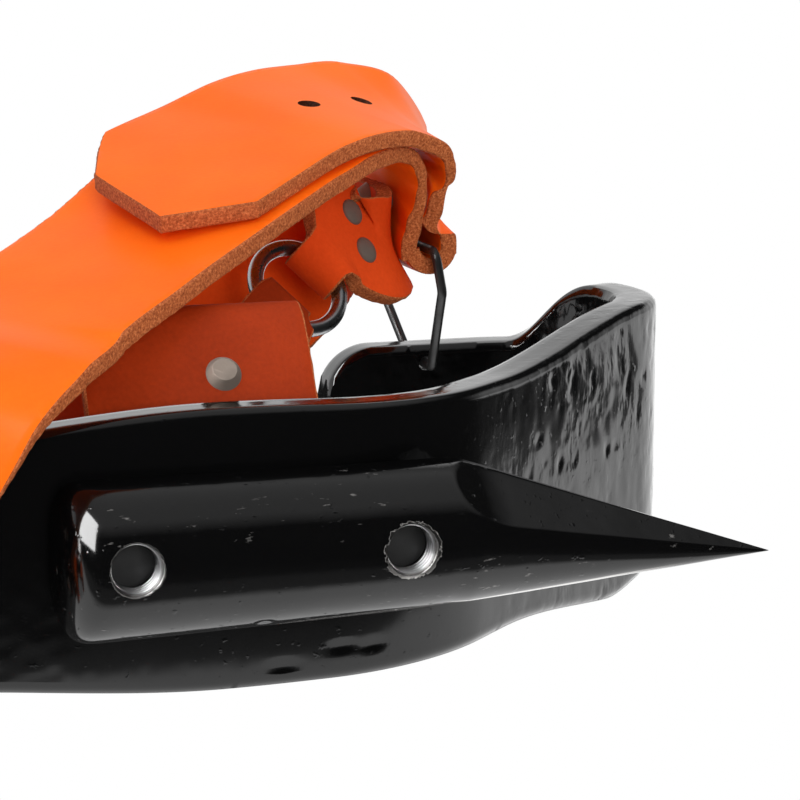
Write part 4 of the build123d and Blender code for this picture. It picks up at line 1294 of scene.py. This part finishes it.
def seen_by(tree, plain, mirrored, in_camera):
    """One shader for plain light, one for mirror rays and one for the camera."""
    path = tree.nodes.new("ShaderNodeLightPath")
    seen = plain
    for kind, shader in (("Is Glossy Ray", mirrored), ("Is Camera Ray", in_camera)):
        mix = tree.nodes.new("ShaderNodeMixShader")
        for socket, value in zip(mix.inputs, (path.outputs[kind], seen, shader)):
            tree.links.new(value, socket)
        seen = mix.outputs["Shader"]
    return seen


# %% World
plain_level, ceiling_level, dark_level = 0.66, 0.5, 0.02
back_side, left_side, overhead = (0.0, 0.35), (0.5, 0.35), (0.60, 0.85)
low_wall, high_wall = (0.42, 0.25), (0.75, 0.60)
scene = bpy.context.scene
scene.view_settings.view_transform = "Standard"
world = bpy.data.worlds.new("studio")
scene.world = world
world.use_nodes = True
sky = world.node_tree
sky.nodes.clear()
sky_out = sky.nodes.new("ShaderNodeOutputWorld")
coords = sky.nodes.new("ShaderNodeTexCoord")
split = sky.nodes.new("ShaderNodeSeparateXYZ")
sky.links.new(coords.outputs["Generated"], split.inputs["Vector"])
behind = link_range(sky, split.outputs["Y"], *back_side)
wall_low = link_range(sky, split.outputs["Z"], *low_wall)
wall_high = link_range(sky, split.outputs["Z"], *high_wall)
to_left = link_range(sky, split.outputs["X"], *left_side)
wall_high = link_math(sky, "MULTIPLY", wall_high, to_left)
wall = link_math(sky, "MULTIPLY", behind, link_math(sky, "MAXIMUM", wall_low, wall_high))
ceiling = link_range(sky, split.outputs["Z"], *overhead)
ceiling = link_math(sky, "MULTIPLY", ceiling, ceiling_level)
room = link_math(sky, "MAXIMUM", wall, ceiling)
room = link_math(sky, "MAXIMUM", room, dark_level)
studio = seen_by(sky, background(sky, plain_level), background(sky, room), background(sky, 1.0))
sky.links.new(studio, sky_out.inputs["Surface"])
print("world", world.name)

# %% [markdown]
# ### Lamps
# A large soft light hangs above and a fill stands in front; neither shows in the paint. A third lamp on
# the left is seen in gloss only, and gives the single glint on the spike's end.

# %% Lamps


def add_softbox(name, aim, offset, width, height, power, in_mirror):
    """A rectangular area light aimed at a point, seen in gloss or not."""
    location = aim + Vector(offset)
    bpy.ops.object.light_add(type="AREA", location=location)
    lamp = bpy.context.object
    lamp.name = name
    lamp.data.shape = "RECTANGLE"
    lamp.data.size = width
    lamp.data.size_y = height
    lamp.data.energy = power
    lamp.visible_glossy = in_mirror
    lamp.visible_diffuse = not in_mirror
    lamp.rotation_euler = (aim - location).to_track_quat("-Z", "Y").to_euler()


middle = place(0, 40, 40)
spike_end = place(-49.5, -11, 30)
top_power, front_power, glint_power = 6.0, 10.0, 30.0
add_softbox("top_light", middle, (-0.2, -0.1, 1.0), 1.4, 1.4, top_power, False)
add_softbox("front_light", middle, (0.1, -1.3, 0.3), 0.8, 0.8, front_power, False)
add_softbox("left_glint", spike_end, (-0.62, -0.26, 0.52), 0.7, 0.8, glint_power, True)

# %% [markdown]
# ## Floor
# A pale floor carries the climber and throws light up at it. The camera sees plain white. In the gloss
# paint the floor is a white table top, which ends just in front of the spike, further back on the
# right, and is dark at its far left.

# %% Floor
floor_size, floor_drop = 6, 0.0002
table_slope, table_glow = 0.140, 1.3
slope_x, table_front = (0.04, 0.24), (-0.10, 0.0)
corner_x, corner_y = (0.04, 0.01), (0.10, 0.14)
table_levels = ((0.0, 0.02), (0.45, 0.04), (0.55, 0.13), (0.70, 0.16), (0.76, 1.0))
bpy.ops.object.select_all(action="DESELECT")
bpy.ops.mesh.primitive_plane_add(size=floor_size, location=(0, 0, -floor_drop))
floor = bpy.context.object
floor.name = "floor"
floor_material = bpy.data.materials.new("floor_white")
floor_material.use_nodes = True
floor_tree = floor_material.node_tree
floor_tree.nodes.clear()
floor_out = floor_tree.nodes.new("ShaderNodeOutputMaterial")
on_floor = link_place(floor_tree)
to_right = link_range(floor_tree, on_floor["X"], *slope_x)
table_edge = link_math(floor_tree, "MULTIPLY", to_right, table_slope)
table = link_math(floor_tree, "SUBTRACT", on_floor["Y"], table_edge)
table = link_range(floor_tree, table, *table_front)
corner_left = link_range(floor_tree, on_floor["X"], *corner_x)
corner_back = link_range(floor_tree, on_floor["Y"], *corner_y)
dark_corner = link_math(floor_tree, "MULTIPLY", corner_left, corner_back)
table = link_math(floor_tree, "SUBTRACT", table, dark_corner)
table = link_ramp(floor_tree, table, [(edge, (level,) * 3) for edge, level in table_levels])


def glow(level=None):
    """A white emission, or the table's one with a linked colour."""
    shade = floor_tree.nodes.new("ShaderNodeEmission")
    shade.inputs["Color"].default_value = (1, 1, 1, 1)
    if level is not None:
        floor_tree.links.new(level, shade.inputs["Color"])
        shade.inputs["Strength"].default_value = table_glow
    return shade.outputs["Emission"]


floor_dull = floor_tree.nodes.new("ShaderNodeBsdfDiffuse")
floor_dull.inputs["Color"].default_value = (0.8, 0.8, 0.8, 1)
floor_seen = seen_by(floor_tree, floor_dull.outputs["BSDF"], glow(table), glow())
floor_tree.links.new(floor_seen, floor_out.inputs["Surface"])
floor.data.materials.append(floor_material)
print("stage", floor.name)
